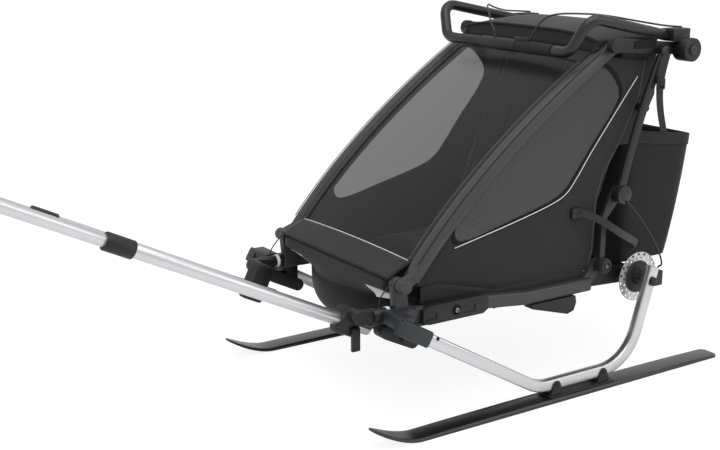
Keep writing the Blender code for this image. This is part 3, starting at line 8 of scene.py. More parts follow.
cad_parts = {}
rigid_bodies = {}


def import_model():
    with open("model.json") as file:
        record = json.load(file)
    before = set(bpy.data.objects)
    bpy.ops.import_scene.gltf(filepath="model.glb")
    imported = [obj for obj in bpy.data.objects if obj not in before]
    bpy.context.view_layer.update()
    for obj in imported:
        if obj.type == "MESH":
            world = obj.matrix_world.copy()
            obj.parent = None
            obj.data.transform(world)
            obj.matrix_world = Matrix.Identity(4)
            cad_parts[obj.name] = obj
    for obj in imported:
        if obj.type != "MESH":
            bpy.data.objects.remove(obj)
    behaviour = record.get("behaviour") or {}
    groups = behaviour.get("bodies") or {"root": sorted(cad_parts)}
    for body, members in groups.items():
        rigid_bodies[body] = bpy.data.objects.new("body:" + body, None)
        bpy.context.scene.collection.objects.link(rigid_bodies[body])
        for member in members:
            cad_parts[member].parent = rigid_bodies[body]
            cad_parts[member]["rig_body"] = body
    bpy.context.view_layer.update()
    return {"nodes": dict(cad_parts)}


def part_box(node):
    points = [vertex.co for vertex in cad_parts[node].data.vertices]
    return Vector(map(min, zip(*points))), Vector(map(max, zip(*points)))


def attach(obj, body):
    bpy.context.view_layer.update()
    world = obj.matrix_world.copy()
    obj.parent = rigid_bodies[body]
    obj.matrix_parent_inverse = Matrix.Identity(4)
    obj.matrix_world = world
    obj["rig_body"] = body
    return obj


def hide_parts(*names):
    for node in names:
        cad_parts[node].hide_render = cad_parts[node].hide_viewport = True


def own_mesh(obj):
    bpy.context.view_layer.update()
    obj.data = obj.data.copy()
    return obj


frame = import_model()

nodes = frame["nodes"]
hubLow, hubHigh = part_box("left_hub")
axleY = (hubLow.y + hubHigh.y) / 2    # every y below is measured from the axle


def at(x, y, z):
    return Vector((x, y + axleY, z))


def mirrored(side, points):
    return [at(side * x, y, z) for x, y, z in points]


sides = ((1, "left"), (-1, "right"))    # the sign of x, and the word in a piece's name


# Camera, floor and light

camera = {
    "lens": 59.93, "sensor": 36, "farClip": 60, "place": (2.5802, -2.3962, 1.2501),
    "tilt": radians(90 - 14.595), "turn": radians(56.776),
}

cameraData = bpy.data.cameras.new("camera")
cameraData.lens = camera["lens"]
cameraData.sensor_width = camera["sensor"]
cameraData.clip_end = camera["farClip"]
cameraObject = bpy.data.objects.new("camera", cameraData)
cameraObject.location = at(*camera["place"])
cameraObject.rotation_euler = (camera["tilt"], 0, camera["turn"])
bpy.context.scene.collection.objects.link(cameraObject)
bpy.context.scene.camera = cameraObject
bpy.context.scene.view_settings.view_transform = "Standard"


def toLinear(hexText):
    # sRGB hex to the linear colour that the shaders take
    parts = [int(hexText[i:i + 2], 16) / 255 for i in (1, 3, 5)]
    return [c / 12.92 if c <= 0.04045 else ((c + 0.055) / 1.055) ** 2.4 for c in parts] + [1.0]


def addNode(tree, kind, settings=None, links=None):
    # links maps an input of the new node to a node's first output, a socket or a plain value
    node = tree.nodes.new("ShaderNode" + kind)
    for key, value in (settings or {}).items():
        setattr(node, key, value)
    for key, value in (links or {}).items():
        if isinstance(value, bpy.types.Node):
            value = value.outputs[0]
        if isinstance(value, bpy.types.NodeSocket):
            tree.links.new(value, node.inputs[key])
        else:
            node.inputs[key].default_value = value
    return node


def emptied(holder):
    # Turns on the nodes of a material or world, and gives addNode for its empty tree
    holder.use_nodes = True
    holder.node_tree.nodes.clear()
    return partial(addNode, holder.node_tree)


def newMaterial(name):
    material = bpy.data.materials.new(name)
    return material, emptied(material)


# The camera sees the floor as mostly glow, so it looks white; light that falls on it meets paint
stage = {"floor": "#f4f4f4", "floorZ": -0.0004, "shaded": 0.22, "glow": 0.87, "size": 16,
         "sky": 0.74, "lamp": 62, "lampSize": 3.2, "sideShare": 0.25, "sideSize": 2.0,
         "aim": (0, -0.3, 0.4)}

floorMaterial, add = newMaterial("mattWhiteFloor")
floorPaint = add("BsdfDiffuse", links={"Color": toLinear(stage["floor"])})
floorSeen = add("BsdfDiffuse", links={"Color": [stage["shaded"]] * 3 + [1.0]})
floorGlow = add("Emission", links={"Color": (1, 1, 1, 1), "Strength": stage["glow"]})
floorSum = add("AddShader", links={0: floorSeen, 1: floorGlow})
floorMix = add("MixShader", links={
    0: add("LightPath").outputs["Is Camera Ray"], 1: floorPaint, 2: floorSum})
add("OutputMaterial", links={0: floorMix})

floorMesh = bpy.data.meshes.new("floor")
bm = bmesh.new()
bmesh.ops.create_grid(bm, x_segments=1, y_segments=1, size=stage["size"])
bm.to_mesh(floorMesh)
bm.free()
floorObject = bpy.data.objects.new("floor", floorMesh)
floorObject.location.z = stage["floorZ"]
floorMesh.materials.append(floorMaterial)
bpy.context.scene.collection.objects.link(floorObject)

world = bpy.data.worlds.new("softStudio")
bpy.context.scene.world = world
add = emptied(world)
rays = add("LightPath")
seen = add("Math", {"operation": "MAXIMUM"}, {
    0: rays.outputs["Is Camera Ray"], 1: rays.outputs["Is Transmission Ray"]})
sky = add("Background", links={"Color": (1, 1, 1, 1), "Strength": stage["sky"]})
white = add("Background", links={"Color": (1, 1, 1, 1), "Strength": 1.0})
add("OutputWorld", links={0: add("MixShader", links={0: seen, 1: sky, 2: white})})

for name, place, power, size in (
    ("lampAbove", (0.9, -0.7, 3.4), stage["lamp"], stage["lampSize"]),
    ("lampSide", (2.6, 1.6, 1.9), stage["lamp"] * stage["sideShare"], stage["sideSize"]),
):
    lampData = bpy.data.lights.new(name, "AREA")
    lampData.energy = power
    lampData.size = size
    lamp = bpy.data.objects.new(name, lampData)
    lamp.location = at(*place)
    way = at(*stage["aim"]) - lamp.location
    lamp.rotation_euler = way.to_track_quat("-Z", "Y").to_euler()
    bpy.context.scene.collection.objects.link(lamp)

print("camera, floor and light are ready")


# Materials

def surfaceMaterial(name, base, rough, metal=0.0, specular=0.5, mottle=None, grain=None,
                    coat=None, stretch=(1, 1, 1)):
    # mottle is (size in mm, second colour), grain is (size in mm, bump height in mm)
    material, add = newMaterial(name)
    place = add("Mapping", links={"Vector": add("TexCoord").outputs["Object"], "Scale": stretch})
    inputs = {"Base Color": toLinear(base), "Roughness": rough, "Metallic": metal,
              "Specular IOR Level": specular}
    if mottle:
        size, second = mottle
        cloud = add("TexNoise", links={
            "Vector": place, "Scale": 1000 / size, "Detail": 4.0, "Roughness": 0.6})
        tint = add("Mix", {"data_type": "RGBA"}, {
            0: cloud, 6: toLinear(base), 7: toLinear(second)})
        inputs["Base Color"] = tint.outputs[2]
        inputs["Roughness"] = add("MapRange", links={0: cloud, 3: rough - 0.06, 4: rough + 0.08})
    if grain:
        size, height = grain
        fine = add("TexNoise", links={"Vector": place, "Scale": 1000 / size, "Detail": 2.0})
        inputs["Normal"] = add("Bump", links={
            "Height": fine, "Distance": height / 1000, "Strength": 0.6})
    if coat:
        inputs.update({"Coat Weight": coat, "Coat Roughness": 0.2})
    add("OutputMaterial", links={0: add("BsdfPrincipled", links=inputs)})
    return material


def clothMaterial(name, base, second, thread, rough=0.85, height=0.25, sheen=0.15, axes="YZ"):
    # A plain weave: threads cross over and under at the given spacing in mm
    material, add = newMaterial(name)
    place = add("TexCoord").outputs["Object"]
    parts = add("SeparateXYZ", links={0: place})
    waves = []
    for letter in axes:
        scaled = add("Math", {"operation": "MULTIPLY"}, {
            0: parts.outputs["XYZ".index(letter)], 1: 1000 * pi / thread})
        waves.append(add("Math", {"operation": "SINE"}, {0: scaled}))
    cross = add("Math", {"operation": "MULTIPLY"}, {0: waves[0], 1: waves[1]})
    cloud = add("TexNoise", links={"Vector": place, "Scale": 28.0, "Detail": 5.0})
    lift = add("MapRange", links={0: cross, 1: -1.0, 2: 1.0, 3: -0.25, 4: 0.25})
    both = add("Math", {"operation": "ADD"}, {0: lift, 1: cloud})
    tint = add("Mix", {"data_type": "RGBA"}, {0: both, 6: toLinear(base), 7: toLinear(second)})
    bump = add("Bump", links={"Height": cross, "Distance": height / 1000, "Strength": 0.5})
    shader = add("BsdfPrincipled", links={
        "Base Color": tint.outputs[2], "Roughness": rough, "Specular IOR Level": 0.2,
        "Sheen Weight": sheen, "Sheen Roughness": 0.5, "Normal": bump})
    add("OutputMaterial", links={0: shader})
    return material


def filmMaterial(name, base, cover, dot, rough=0.25):
    # A knitted insect screen behind a clear film: small open cells let the light through
    material, add = newMaterial(name)
    cells = add("TexVoronoi", links={
        "Vector": add("TexCoord").outputs["Object"], "Scale": 1000 / dot, "Randomness": 0.0})
    share = add("MapRange", links={
        0: cells.outputs["Distance"], 1: 0.1, 2: 0.7, 3: cover - 0.05, 4: cover + 0.05})
    shader = add("BsdfPrincipled", links={
        "Base Color": toLinear(base), "Roughness": rough, "Specular IOR Level": 0.3,
        "Alpha": share})
    add("OutputMaterial", links={0: shader})
    return material


# Powder-coated aluminium tube: an even satin grey with the coating's slight orange peel
powderCoat = surfaceMaterial("powderCoatedTube", "#363638", 0.42, mottle=(60, "#303032"),
                             grain=(2.2, 0.03))
# Moulded glass-filled nylon: dull black with a fine spark-eroded grain
mouldedNylon = surfaceMaterial("mouldedBlackNylon", "#111112", 0.48, specular=0.45,
                               mottle=(35, "#161617"), grain=(1.4, 0.04))
# The same nylon dyed blue black: a cold tint beside the plain black
blueNylon = surfaceMaterial("mouldedBlueBlackNylon", "#20292e", 0.42, mottle=(35, "#1b2327"),
                            grain=(1.4, 0.03))
# Clear anodised aluminium extrusion: bright, with faint draw lines along its length
anodised = surfaceMaterial("anodisedAluminium", "#d9dadc", 0.34, metal=1.0,
                           mottle=(9, "#cfd0d3"), stretch=(1, 0.06, 1))
# Dark grey anodised plate of the folding links: a low sheen, less bright than bare metal
greyAnodised = surfaceMaterial("greyAnodisedPlate", "#3e3f42", 0.4, metal=0.6,
                               mottle=(14, "#37383a"))
# Black powder coat of the push bar and the rear uprights: darker and glossier than the frame
blackCoat = surfaceMaterial("blackPowderCoat", "#161617", 0.34, mottle=(60, "#1a1a1b"),
                            grain=(2.2, 0.02))
# Ground stainless steel of the brake rotors: bright and cool, slightly uneven
groundSteel = surfaceMaterial("groundStainlessSteel", "#c9cacc", 0.28, metal=1.0,
                              mottle=(4, "#bcbdc0"))
# Polyethylene ski with a smooth glossy top skin
skiSkin = surfaceMaterial("polyethyleneSkiTop", "#101011", 0.3, specular=0.5,
                          mottle=(120, "#151516"), coat=0.25)
# Soft thermoplastic rubber of the grip: matt, with a pebbled skin
gripRubber = surfaceMaterial("softGripRubber", "#1a1a1b", 0.7, specular=0.3,
                             mottle=(12, "#202021"), grain=(2.0, 0.12))
# PVC cable casing: smooth, a little shiny
cableSkin = surfaceMaterial("blackCableCasing", "#0f0f10", 0.35, mottle=(20, "#141415"))
# Tightly woven polyester, coated behind: a flat dark grey. Its threads are drawn coarser than
# the real ones, so that they show
coverCloth = clothMaterial("coatedPolyesterCover", "#28282a", "#202021", 1.6)
frontCloth = clothMaterial("coatedPolyesterFront", "#29292a", "#212122", 1.6, axes="XZ")
# Heavier polyester of the cargo bag: darker, with a coarser weave
bagCloth = clothMaterial("heavyPolyesterBag", "#19191a", "#131314", 2.0, height=0.35)
# Brushed knit over foam on the seats: soft, paler at grazing angles
seatCloth = clothMaterial("brushedSeatKnit", "#2b2b2d", "#222224", 2.4, height=0.4, sheen=0.3,
                          axes="XZ")
# Folded binding tape at the edges: matt and ribbed
bindingTape = clothMaterial("ribbedBindingTape", "#222223", "#1a1a1b", 1.2, height=0.3)
# Black edge tape round the windows, and the same black laid as painted shade in the legs' holes,
# the housings' recess and slots and the tubes' grooves: the darkest part, almost without sheen
blackTapeAndPaintedShade = clothMaterial("blackEdgeTape", "#131314", "#0e0e0f", 1.2, height=0.2, sheen=0.05)
# Woven polypropylene webbing: a coarse weave with deep gaps
webbing = clothMaterial("wovenWebbing", "#3a3a3b", "#2a2a2b", 2.2, height=0.6)
# Smoke-tinted window film over an insect screen: grey, and half see-through
frontFilm = filmMaterial("smokedWindowFilm", "#2a2a2b", 0.60, 1.6)
sideFilm = filmMaterial("smokedSideWindowFilm", "#525254", 0.62, 1.6)
# Glass-bead reflective piping: pale grey, nearly white under a lamp
reflective = surfaceMaterial("glassBeadReflective", "#e6e7e8", 0.55, mottle=(6, "#d8d9da"))
# Zinc-plated steel of the screws: small grey points with a soft shine
boltSteel = surfaceMaterial("zincPlatedSteel", "#8f9194", 0.35, metal=1.0, mottle=(5, "#7f8184"))

slotMaterials = {
    "frame_tube": powderCoat, "black_shell": mouldedNylon, "blue_black_shell": blueNylon,
    "bright_aluminium": anodised, "link_aluminium": greyAnodised, "rotor_steel": groundSteel,
    "ski_top": skiSkin, "grip_rubber": gripRubber, "cable_black": cableSkin,
    "panel_fabric": coverCloth, "cushion_fabric": seatCloth, "bag_fabric": bagCloth,
}
nodeMaterials = {
    "handlebar": blackCoat, "rear_uprights": blackCoat,
    "left_release_button": blueNylon, "right_release_button": blueNylon,
}
nodeSlots = {name: node.material_slots[0].material.name.split(".")[0]
             for name, node in nodes.items()}
for name, node in nodes.items():
    material = nodeMaterials.get(name, slotMaterials[nodeSlots[name]])
    node.material_slots[0].material = material

print("materials are ready")


# Making pieces

clothWeld, fineWeld = 0.00005, 0.000002    # points this near each other become one


def keepPiece(name, bm, body, material, sharp=40, weld=clothWeld):
    bmesh.ops.remove_doubles(bm, verts=bm.verts, dist=weld)
    bmesh.ops.recalc_face_normals(bm, faces=bm.faces)
    mesh = bpy.data.meshes.new(name)
    bm.to_mesh(mesh)
    bm.free()
    mesh.shade_smooth()
    mesh.set_sharp_from_angle(angle=radians(sharp))
    mesh.materials.append(material)
    piece = bpy.data.objects.new(name, mesh)
    bpy.context.scene.collection.objects.link(piece)
    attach(piece, body)
    return piece


def part(pair, share):
    # From the first of two values towards the second
    return pair[0] + (pair[1] - pair[0]) * share


def thicken(piece, amount, offset=-1.0):
    wall = piece.modifiers.new("wall", "SOLIDIFY")
    wall.thickness = amount
    wall.offset = offset
    wall.use_even_offset = False
    return piece


def gridOf(across, along, place):
    # place takes two shares from 0 to 1 and gives a point
    bm = bmesh.new()
    bmesh.ops.create_grid(bm, x_segments=across, y_segments=along, size=0.5)
    for vert in bm.verts:
        vert.co = place(vert.co.x + 0.5, vert.co.y + 0.5)
    return bm


def sewn(name, cells, place, body, material, wall, offset=0):
    # A sheet of cloth with its thickness; cells are counted across and along
    return thicken(keepPiece(name, gridOf(*cells, place), body, material), wall, offset)


def between(before, a, b, after, t):
    # A point on the smooth curve from a to b
    return 0.5 * ((2 * a) + (b - before) * t + (2 * before - 5 * a + 4 * b - after) * t * t
                  + (3 * a - before - 3 * b + after) * t ** 3)


def curveThrough(points, count):
    # A smooth line through the points, evenly stepped
    points = [Vector(p) for p in points]
    parts = 12
    dense = []
    for i in range(len(points) - 1):
        before = points[max(i - 1, 0)]
        after = points[min(i + 2, len(points) - 1)]
        for step in range(parts):
            dense.append(between(before, points[i], points[i + 1], after, step / parts))
    dense.append(points[-1])
    return evenSteps(dense, count)


def lineLength(points):
    return sum((b - a).length for a, b in zip(points, points[1:]))


def evenSteps(points, count):
    lengths = [0.0]
    for a, b in zip(points, points[1:]):
        lengths.append(lengths[-1] + (b - a).length)
    stepped = []
    index = 0
    for i in range(count):
        goal = lengths[-1] * i / (count - 1)
        while index < len(points) - 2 and lengths[index + 1] < goal:
            index += 1
        gap = lengths[index + 1] - lengths[index]
        share = (goal - lengths[index]) / gap if gap > 0 else 0
        stepped.append(points[index].lerp(points[index + 1], share))
    return stepped


def tubeAlong(points, radius, sides=10, flat=1.0, closed=False):
    # Rings of create_circle, bridged one to the next; flat squeezes the section
    bm = bmesh.new()
    up = Vector((0, 0, 1))
    rings = []
    count = len(points)
    for i, point in enumerate(points):
        if closed:
            run = (points[(i + 1) % count] - points[i - 1]).normalized()
        else:
            run = (points[min(i + 1, count - 1)] - points[max(i - 1, 0)]).normalized()
        if abs(run.dot(up)) > 0.98:
            up = Vector((0, 1, 0)) if abs(run.y) < 0.9 else Vector((1, 0, 0))
        side = run.cross(up).normalized()
        up = side.cross(run).normalized()
        turn = Matrix((side, up * flat, run)).transposed().to_4x4()
        circle = bmesh.ops.create_circle(bm, cap_ends=not closed and i in (0, count - 1),
                                         segments=sides, radius=radius,
                                         matrix=Matrix.Translation(point) @ turn)
        edges = set()
        for vert in circle["verts"]:
            edges.update(vert.link_edges)
        rings.append(list(edges))
    pairs = list(zip(rings, rings[1:])) + ([(rings[-1], rings[0])] if closed else [])
    for a, b in pairs:
        bmesh.ops.bridge_loops(bm, edges=a + b)
    return bm


def ribbon(points, width, thickness, across):
    # A flat strap: points run along its middle, across is its width's direction
    wide = Vector(across).normalized() * width / 2
    last = len(points) - 1
    bm = gridOf(2, last, lambda u, v: points[round(v * last)] + wide * (2 * u - 1))
    bmesh.ops.recalc_face_normals(bm, faces=bm.faces)
    bmesh.ops.solidify(bm, geom=bm.faces[:], thickness=thickness)
    return bm


def rounded(bm, edges, radius, segments, clamp=False):
    bmesh.ops.bevel(bm, geom=edges, offset=radius, offset_type="OFFSET", affect="EDGES",
                    segments=segments, profile=0.5, clamp_overlap=clamp, material=-1)


def boxesOf(*corners):
    # A box between each two corners
    bm = bmesh.new()
    for low, high in zip(corners[::2], corners[1::2]):
        for vert in bmesh.ops.create_cube(bm, size=1.0)["verts"]:
            vert.co = [part(pair, c + 0.5) for c, pair in zip(vert.co, zip(low, high))]
    return bm


def foldDown(pieces):
    # Gives each soft piece on the chassis a mesh of its own
    for piece in pieces:
        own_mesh(piece)


# Thickness of each kind of cloth
clothWall = {"tape": 0.0008, "lining": 0.0012, "skirt": 0.0014, "wing": 0.0016, "rim": 0.002,
             "nose": 0.003}


# The front frame's curve, which the cover, roof and side panels follow

frontCurve = {"start": (-0.762, 0.345), "startSlope": radians(54),
              "end": (-0.105, 0.903), "endSlope": radians(31)}


def curvePoint(t, across=0.0):
    startY, startZ = frontCurve["start"]
    endY, endZ = frontCurve["end"]
    first, last = frontCurve["startSlope"], frontCurve["endSlope"]
    reach = ((endY - startY) * sin(last) - (endZ - startZ) * cos(last)) / sin(last - first)
    middleY, middleZ = startY + reach * cos(first), startZ + reach * sin(first)
    a, b, c = (1 - t) ** 2, 2 * t * (1 - t), t * t
    y = a * startY + b * middleY + c * endY
    z = a * startZ + b * middleZ + c * endZ
    slope = atan2((1 - t) * (middleZ - startZ) + t * (endZ - middleZ),
                  (1 - t) * (middleY - startY) + t * (endY - middleY))
    return y - across * sin(slope), z + across * cos(slope)


cover = {
    "half": 0.2647, "base": 0.0105, "crown": 0.012, "lip": ((-0.797, 0.380), (-0.772, 0.393)),
    "reach": (0.11, 0.965), "filmY": (-0.733, -0.187), "wall": 0.0016,
}


def coverPlace(x, share, lift=0.0):
    # share 0 is the lip at the nose, 1 the roof seam
    crown = cover["crown"] * (1 - (x / cover["half"]) ** 2)
    across = cover["base"] + crown + lift
    line = [Vector((0, *p)) for p in cover["lip"]]
    steps = 24
    for i in range(steps + 1):
        line.append(Vector((0, *curvePoint(part(cover["reach"], i / steps), across))))
    line[0].z += lift
    line[1].z += lift
    goal = share * lineLength(line)
    for a, b in zip(line, line[1:]):
        length = (b - a).length
        if goal <= length or b is line[-1]:
            point = a.lerp(b, min(goal / length, 1.0))
            return at(x, point.y, point.z)
        goal -= length


def shareAtY(y):
    # The share along the cover's middle line at which it stands at y
    low, high = 0.0, 1.0
    for _ in range(24):
        middle = (low + high) / 2
        if coverPlace(0, middle).y - axleY < y:
            low = middle
        else:
            high = middle
    return low


film = [shareAtY(y) for y in cover["filmY"]]    # the window's two ends along the cover
edgeIn = 0.016    # width of the cloth strip that is sewn along each tube
coverHalf = cover["half"] - 0.0004

frontWindow = keepPiece("frontWindow", gridOf(
    28, 64, lambda u, v: coverPlace((2 * u - 1) * (coverHalf - edgeIn), part(film, v), -0.0012)),
    "folding_front", frontFilm)

for name, span in (("frontFlap", (0.0, film[0])), ("frontHem", (film[1], 1.0))):
    sewn(name, (36, 10), lambda u, v: coverPlace((2 * u - 1) * coverHalf, part(span, v)),
         "folding_front", frontCloth, cover["wall"])
for side, word in sides:
    sewn(word + "CoverStrip", (3, 64), lambda u, v: coverPlace(
        side * (coverHalf - edgeIn * 1.15 * u), part(film, v), 0.0004),
        "folding_front", frontCloth, cover["wall"])
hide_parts("front_cover")

piping = {"radius": 0.0011, "lineX": 0.251}
welt = {"radius": 0.0034, "share": 0.004}
line = evenSteps([coverPlace(piping["lineX"] * (2 * i / 40 - 1), film[0], 0.001)
                  for i in range(41)], 41)
keepPiece("frontPiping", tubeAlong(line, piping["radius"], 8), "folding_front", reflective)

line = [coverPlace((coverHalf - 0.001) * (2 * i / 40 - 1), welt["share"]) for i in range(41)]
keepPiece("lipWelt", tubeAlong(line, welt["radius"], 10), "folding_front", bindingTape)

print("front cover is ready")


# Roof, which lies over the tops of the tubes

roof = {"half": 0.2815, "rearY": 0.0755, "sideZ": 0.9235, "crownHalf": 0.282, "crown": 0.040,
        "ripple": 0.0012, "wall": 0.0026, "hemZ": 0.903, "seam": 0.0024, "flat": (0.590, 0.250)}
# Where the front frame's tubes end under the roof, and the height of their top faces
tubeEnd = {"t": 0.955, "rise": 0.045, "y": -0.147, "length": 0.042, "lastY": -0.098}
roofFront = coverPlace(0, 1.0).y - axleY + 0.0005


def roofPlace(u, v, lift=0.0):
    x = roof["half"] * (2 * u - 1)
    across = 1 - (x / roof["crownHalf"]) ** 4
    along = 0.35 + 0.65 * sin(pi * (0.08 + 0.72 * v))
    ripple = roof["ripple"] * sin(9 * pi * u) * sin(pi * v) * (0.3 + 0.7 * abs(2 * u - 1))
    y = part((roofFront, roof["rearY"]), v)
    return at(x, y, roof["sideZ"] + roof["crown"] * across * along - 0.0004 + ripple + lift)


roofCloth = sewn("roofCloth", (48, 24), roofPlace, "folding_front", frontCloth, roof["wall"], -1.0)
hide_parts("roof_canopy")


def valancePlace(u, v):
    # From the cover's top edge, or the tubes' top faces beside it, up to the roof's front edge
    x = roof["half"] * (2 * u - 1)
    onTube = at(x, *curvePoint(tubeEnd["t"], 0.0203))
    low = coverPlace(x, 0.998) if abs(x) < cover["half"] else onTube
    return low.lerp(roofPlace(u, 0.02, -0.001), v)


sewn("roofValance", (96, 4), valancePlace, "folding_front", frontCloth, cover["wall"])
for name, share in (("roofFrontSeam", 0.012), ("roofRearSeam", 0.985)):
    line = [roofPlace(i / 48, share, 0.0004) for i in range(49)]
    keepPiece(name, tubeAlong(line, roof["seam"], 8), "folding_front", bindingTape)


def hemPlace(side, u, v):
    # Hangs from the roof's side edge, and ends on the tube's top face where the tube runs below
    top = roofPlace(1.0 if side > 0 else 0.0, u, -0.001)
    y = top.y - axleY
    low = roof["hemZ"]
    if y < tubeEnd["lastY"]:
        t = tubeEnd["t"] + tubeEnd["rise"] * (y - tubeEnd["y"]) / tubeEnd["length"]
        low = curvePoint(min(1.0, t), 0.0206)[1]
    return at(side * (roof["half"] - 0.0008), y, part((low, top.z), v))


for side, word in sides:
    sewn(word + "RoofHem", (40, 4), partial(hemPlace, side), "folding_front", frontCloth,
         clothWall["lining"])


print("roof is ready")


# Side panels: cloth round a window, with white piping under it

panel = {
    "x": 0.2858, "wall": 0.0022, "centre": (-0.31, 0.63),
    "rear": ((-0.735, 0.353), (-0.662, 0.353), (-0.470, 0.3033), (-0.148, 0.3033),
             (-0.1335, 0.3535), (-0.128, 0.500), (-0.106, 0.565), (-0.046, 0.655),
             (0.014, 0.772), (0.030, 0.865)),
    "window": ((-0.612, 0.492), (-0.590, 0.4465), (-0.440, 0.476), (-0.303, 0.5085),
               (-0.247, 0.534), (-0.207, 0.577), (-0.150, 0.652), (-0.082, 0.735),
               (-0.060, 0.790), (-0.105, 0.850), (-0.155, 0.862), (-0.217, 0.830), (-0.349, 0.730),
               (-0.477, 0.627), (-0.571, 0.541)),
    "piping": ((-0.611, 0.436), (-0.440, 0.471), (-0.305, 0.503), (-0.243, 0.528),
               (-0.203, 0.571), (-0.146, 0.646), (0.000, 0.823)),
    "rays": 168, "rings": 12, "bulge": 0.0012, "bottomZ": 0.3033, "flat": (0.770, 0.570),
    "tube": 0.038, "gap": 0.0003,
}
across = -(panel["tube"] / 2 + panel["gap"])
topLine = [curvePoint(0.13 + 0.86 * i / 15, across) for i in range(16)]
panelOutline = list(panel["rear"]) + topLine[::-1]


def reachTo(outline, angle):
    # Distance from the panel's centre to the outline in that direction
    centreY, centreZ = panel["centre"]
    best = 0.0
    for (y0, z0), (y1, z1) in zip(outline, list(outline[1:]) + [outline[0]]):
        ay, az, by, bz = y0 - centreY, z0 - centreZ, y1 - centreY, z1 - centreZ
        wide = cos(angle) * (bz - az) - sin(angle) * (by - ay)
        if abs(wide) < 1e-12:
            continue
        reach = (ay * (bz - az) - az * (by - ay)) / wide
        share = (ay * sin(angle) - az * cos(angle)) / wide
        if reach > 0 and -1e-9 <= share <= 1 + 1e-9:
            best = max(best, reach)
    return best


def smoothOutline(points):
    loop = [Vector((0, *p)) for p in points]
    dense = []
    count = len(loop)
    for i in range(count):
        before, a, b, after = (loop[(i + k) % count] for k in (-1, 0, 1, 2))
        dense += [between(before, a, b, after, step / 6) for step in range(6)]
    return [(p.y, p.z) for p in dense]


windowOutline = smoothOutline(panel["window"])
corners = [atan2(z - panel["centre"][1], y - panel["centre"][0]) % (2 * pi)
           for y, z in panelOutline]
angles = sorted(set([round(2 * pi * i / panel["rays"], 5) for i in range(panel["rays"])]
                    + [round(a, 5) for a in corners]))
outerReach = [reachTo(panelOutline, a) for a in angles]
innerReach = [reachTo(windowOutline, a) for a in angles]


def onPanel(index, reach):
    y, z = panel["centre"]
    return y + reach * cos(angles[index]), z + reach * sin(angles[index])


def panelPlace(side, u, v, first, last):
    # v goes round the panel's centre, u from the inner reach to the outer one
    index = round(v * len(angles)) % len(angles)
    inner = first * innerReach[index]
    outer = innerReach[index] if last == "window" else outerReach[index] - panel["gap"]
    reach = part((inner, outer), u)
    puff = panel["bulge"] * sin(pi * u) if last != "window" else 0.0
    return at(side * (panel["x"] + puff), *onPanel(index, reach))


def bandPlace(side, u, v):
    # Tape round the window, 15 mm wide
    index = round(v * len(angles)) % len(angles)
    reach = innerReach[index] - 0.004 + 0.015 * u
    return at(side * (panel["x"] + 0.0016 + 0.0005 * sin(pi * u)), *onPanel(index, reach))


# The cloth behind the side panel, up to the rear uprights: each sheet's front and rear edge in y
# at its foot and its top, and its height
rearFlap = {"x": 0.2828, "puff": 0.0006, "foot": (-0.060, 0.074), "top": (-0.060, 0.074),
            "z": (0.769, 0.901)}
lowFlap = {"x": 0.2828, "puff": 0, "foot": (-0.062, 0.006), "top": (-0.012, 0.074),
           "z": (0.640, 0.7692)}


def flapPlace(flap, side, u, v):
    return at(side * (flap["x"] + flap["puff"] * sin(pi * u)),
              part((part(flap["foot"], u), part(flap["top"], u)), v), part(flap["z"], v))


for side, word in sides:
    cloth = sewn(word + "PanelCloth", (panel["rings"], len(angles)),
                 lambda u, v: panelPlace(side, u, v, 0.985, "outline"),
                 "chassis", coverCloth, panel["wall"])
    window = keepPiece(word + "PanelWindow", gridOf(
        10, len(angles), lambda u, v: panelPlace(side, u, v, 0.0, "window")),
        "chassis", sideFilm)
    line = curveThrough([at(side * (panel["x"] + 0.0026), y, z) for y, z in panel["piping"]], 70)
    trim = keepPiece(word + "PanelPiping", tubeAlong(line, piping["radius"], 8), "chassis",
                     reflective)
    bind = sewn(word + "WindowBinding", (4, len(angles)), partial(bandPlace, side),
                "chassis", blackTapeAndPaintedShade, clothWall["tape"])
    flaps = [sewn(word + name, cells, partial(flapPlace, flap, side), "chassis", coverCloth,
                  clothWall["lining"])
             for name, cells, flap in (("RearFlap", (12, 16), rearFlap),
                                       ("RearFlapLow", (8, 12), lowFlap))]
    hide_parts(word + "_side_panel")
    foldDown((cloth, window, trim, bind))
    foldDown(flaps)

print("side panels are ready")


# Nose and footwell: a sewn tub that hangs between the rails

tub = {"half": 0.250, "middleY": -0.652, "length": 0.150, "depth": 0.115, "sweep": 0.105,
       "noseHalf": 0.2448, "noseZ": (0.2905, 0.372), "wall": 0.0022, "wallTop": 0.345}
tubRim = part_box("footwell_tub")[0].z + tub["depth"]


def noseSweep(x):
    # The foot of the nose is rounded in plan
    return tub["sweep"] * (abs(x) / tub["half"]) ** 2


def tubPlace(u, v):
    # u runs across, v from the nose down and up to the rear rim
    a = pi * v
    x = tub["half"] * (2 * u - 1)
    depth = tub["depth"] * (1 - 0.45 * abs(2 * u - 1) ** 3)
    reach = tub["length"] - noseSweep(x) / 2
    y = tub["middleY"] + noseSweep(x) / 2
    y -= reach * abs(cos(a)) ** 0.7 * (1 if cos(a) > 0 else -1)
    return at(x, y, tubRim - depth * sin(a) ** 0.55)


def nosePlace(u, v, lift=0.0):
    # A straight top edge at the cover's lip over a rounded foot
    x = tub["noseHalf"] * (2 * u - 1)
    turn = min(1.0, max(0.0, (v - 0.1) / 0.65))
    y = tub["middleY"] - tub["length"] + 0.0025 - lift
    y += noseSweep(x) * (1 - turn * turn * (3 - 2 * turn)) + 0.006 * v
    return at(x, y, part(tub["noseZ"], v))


tubShell = sewn("footwellShell", (40, 48), tubPlace, "chassis", bagCloth, tub["wall"], 1.0)
sewn("noseSheet", (48, 20), nosePlace, "chassis", frontCloth, clothWall["nose"])
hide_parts("footwell_tub")
noseSeam = [nosePlace(i / 48, 0.21, 0.0016) for i in range(49)]
keepPiece("noseSeam", tubeAlong(noseSeam, 0.0013, 8), "chassis", bindingTape)

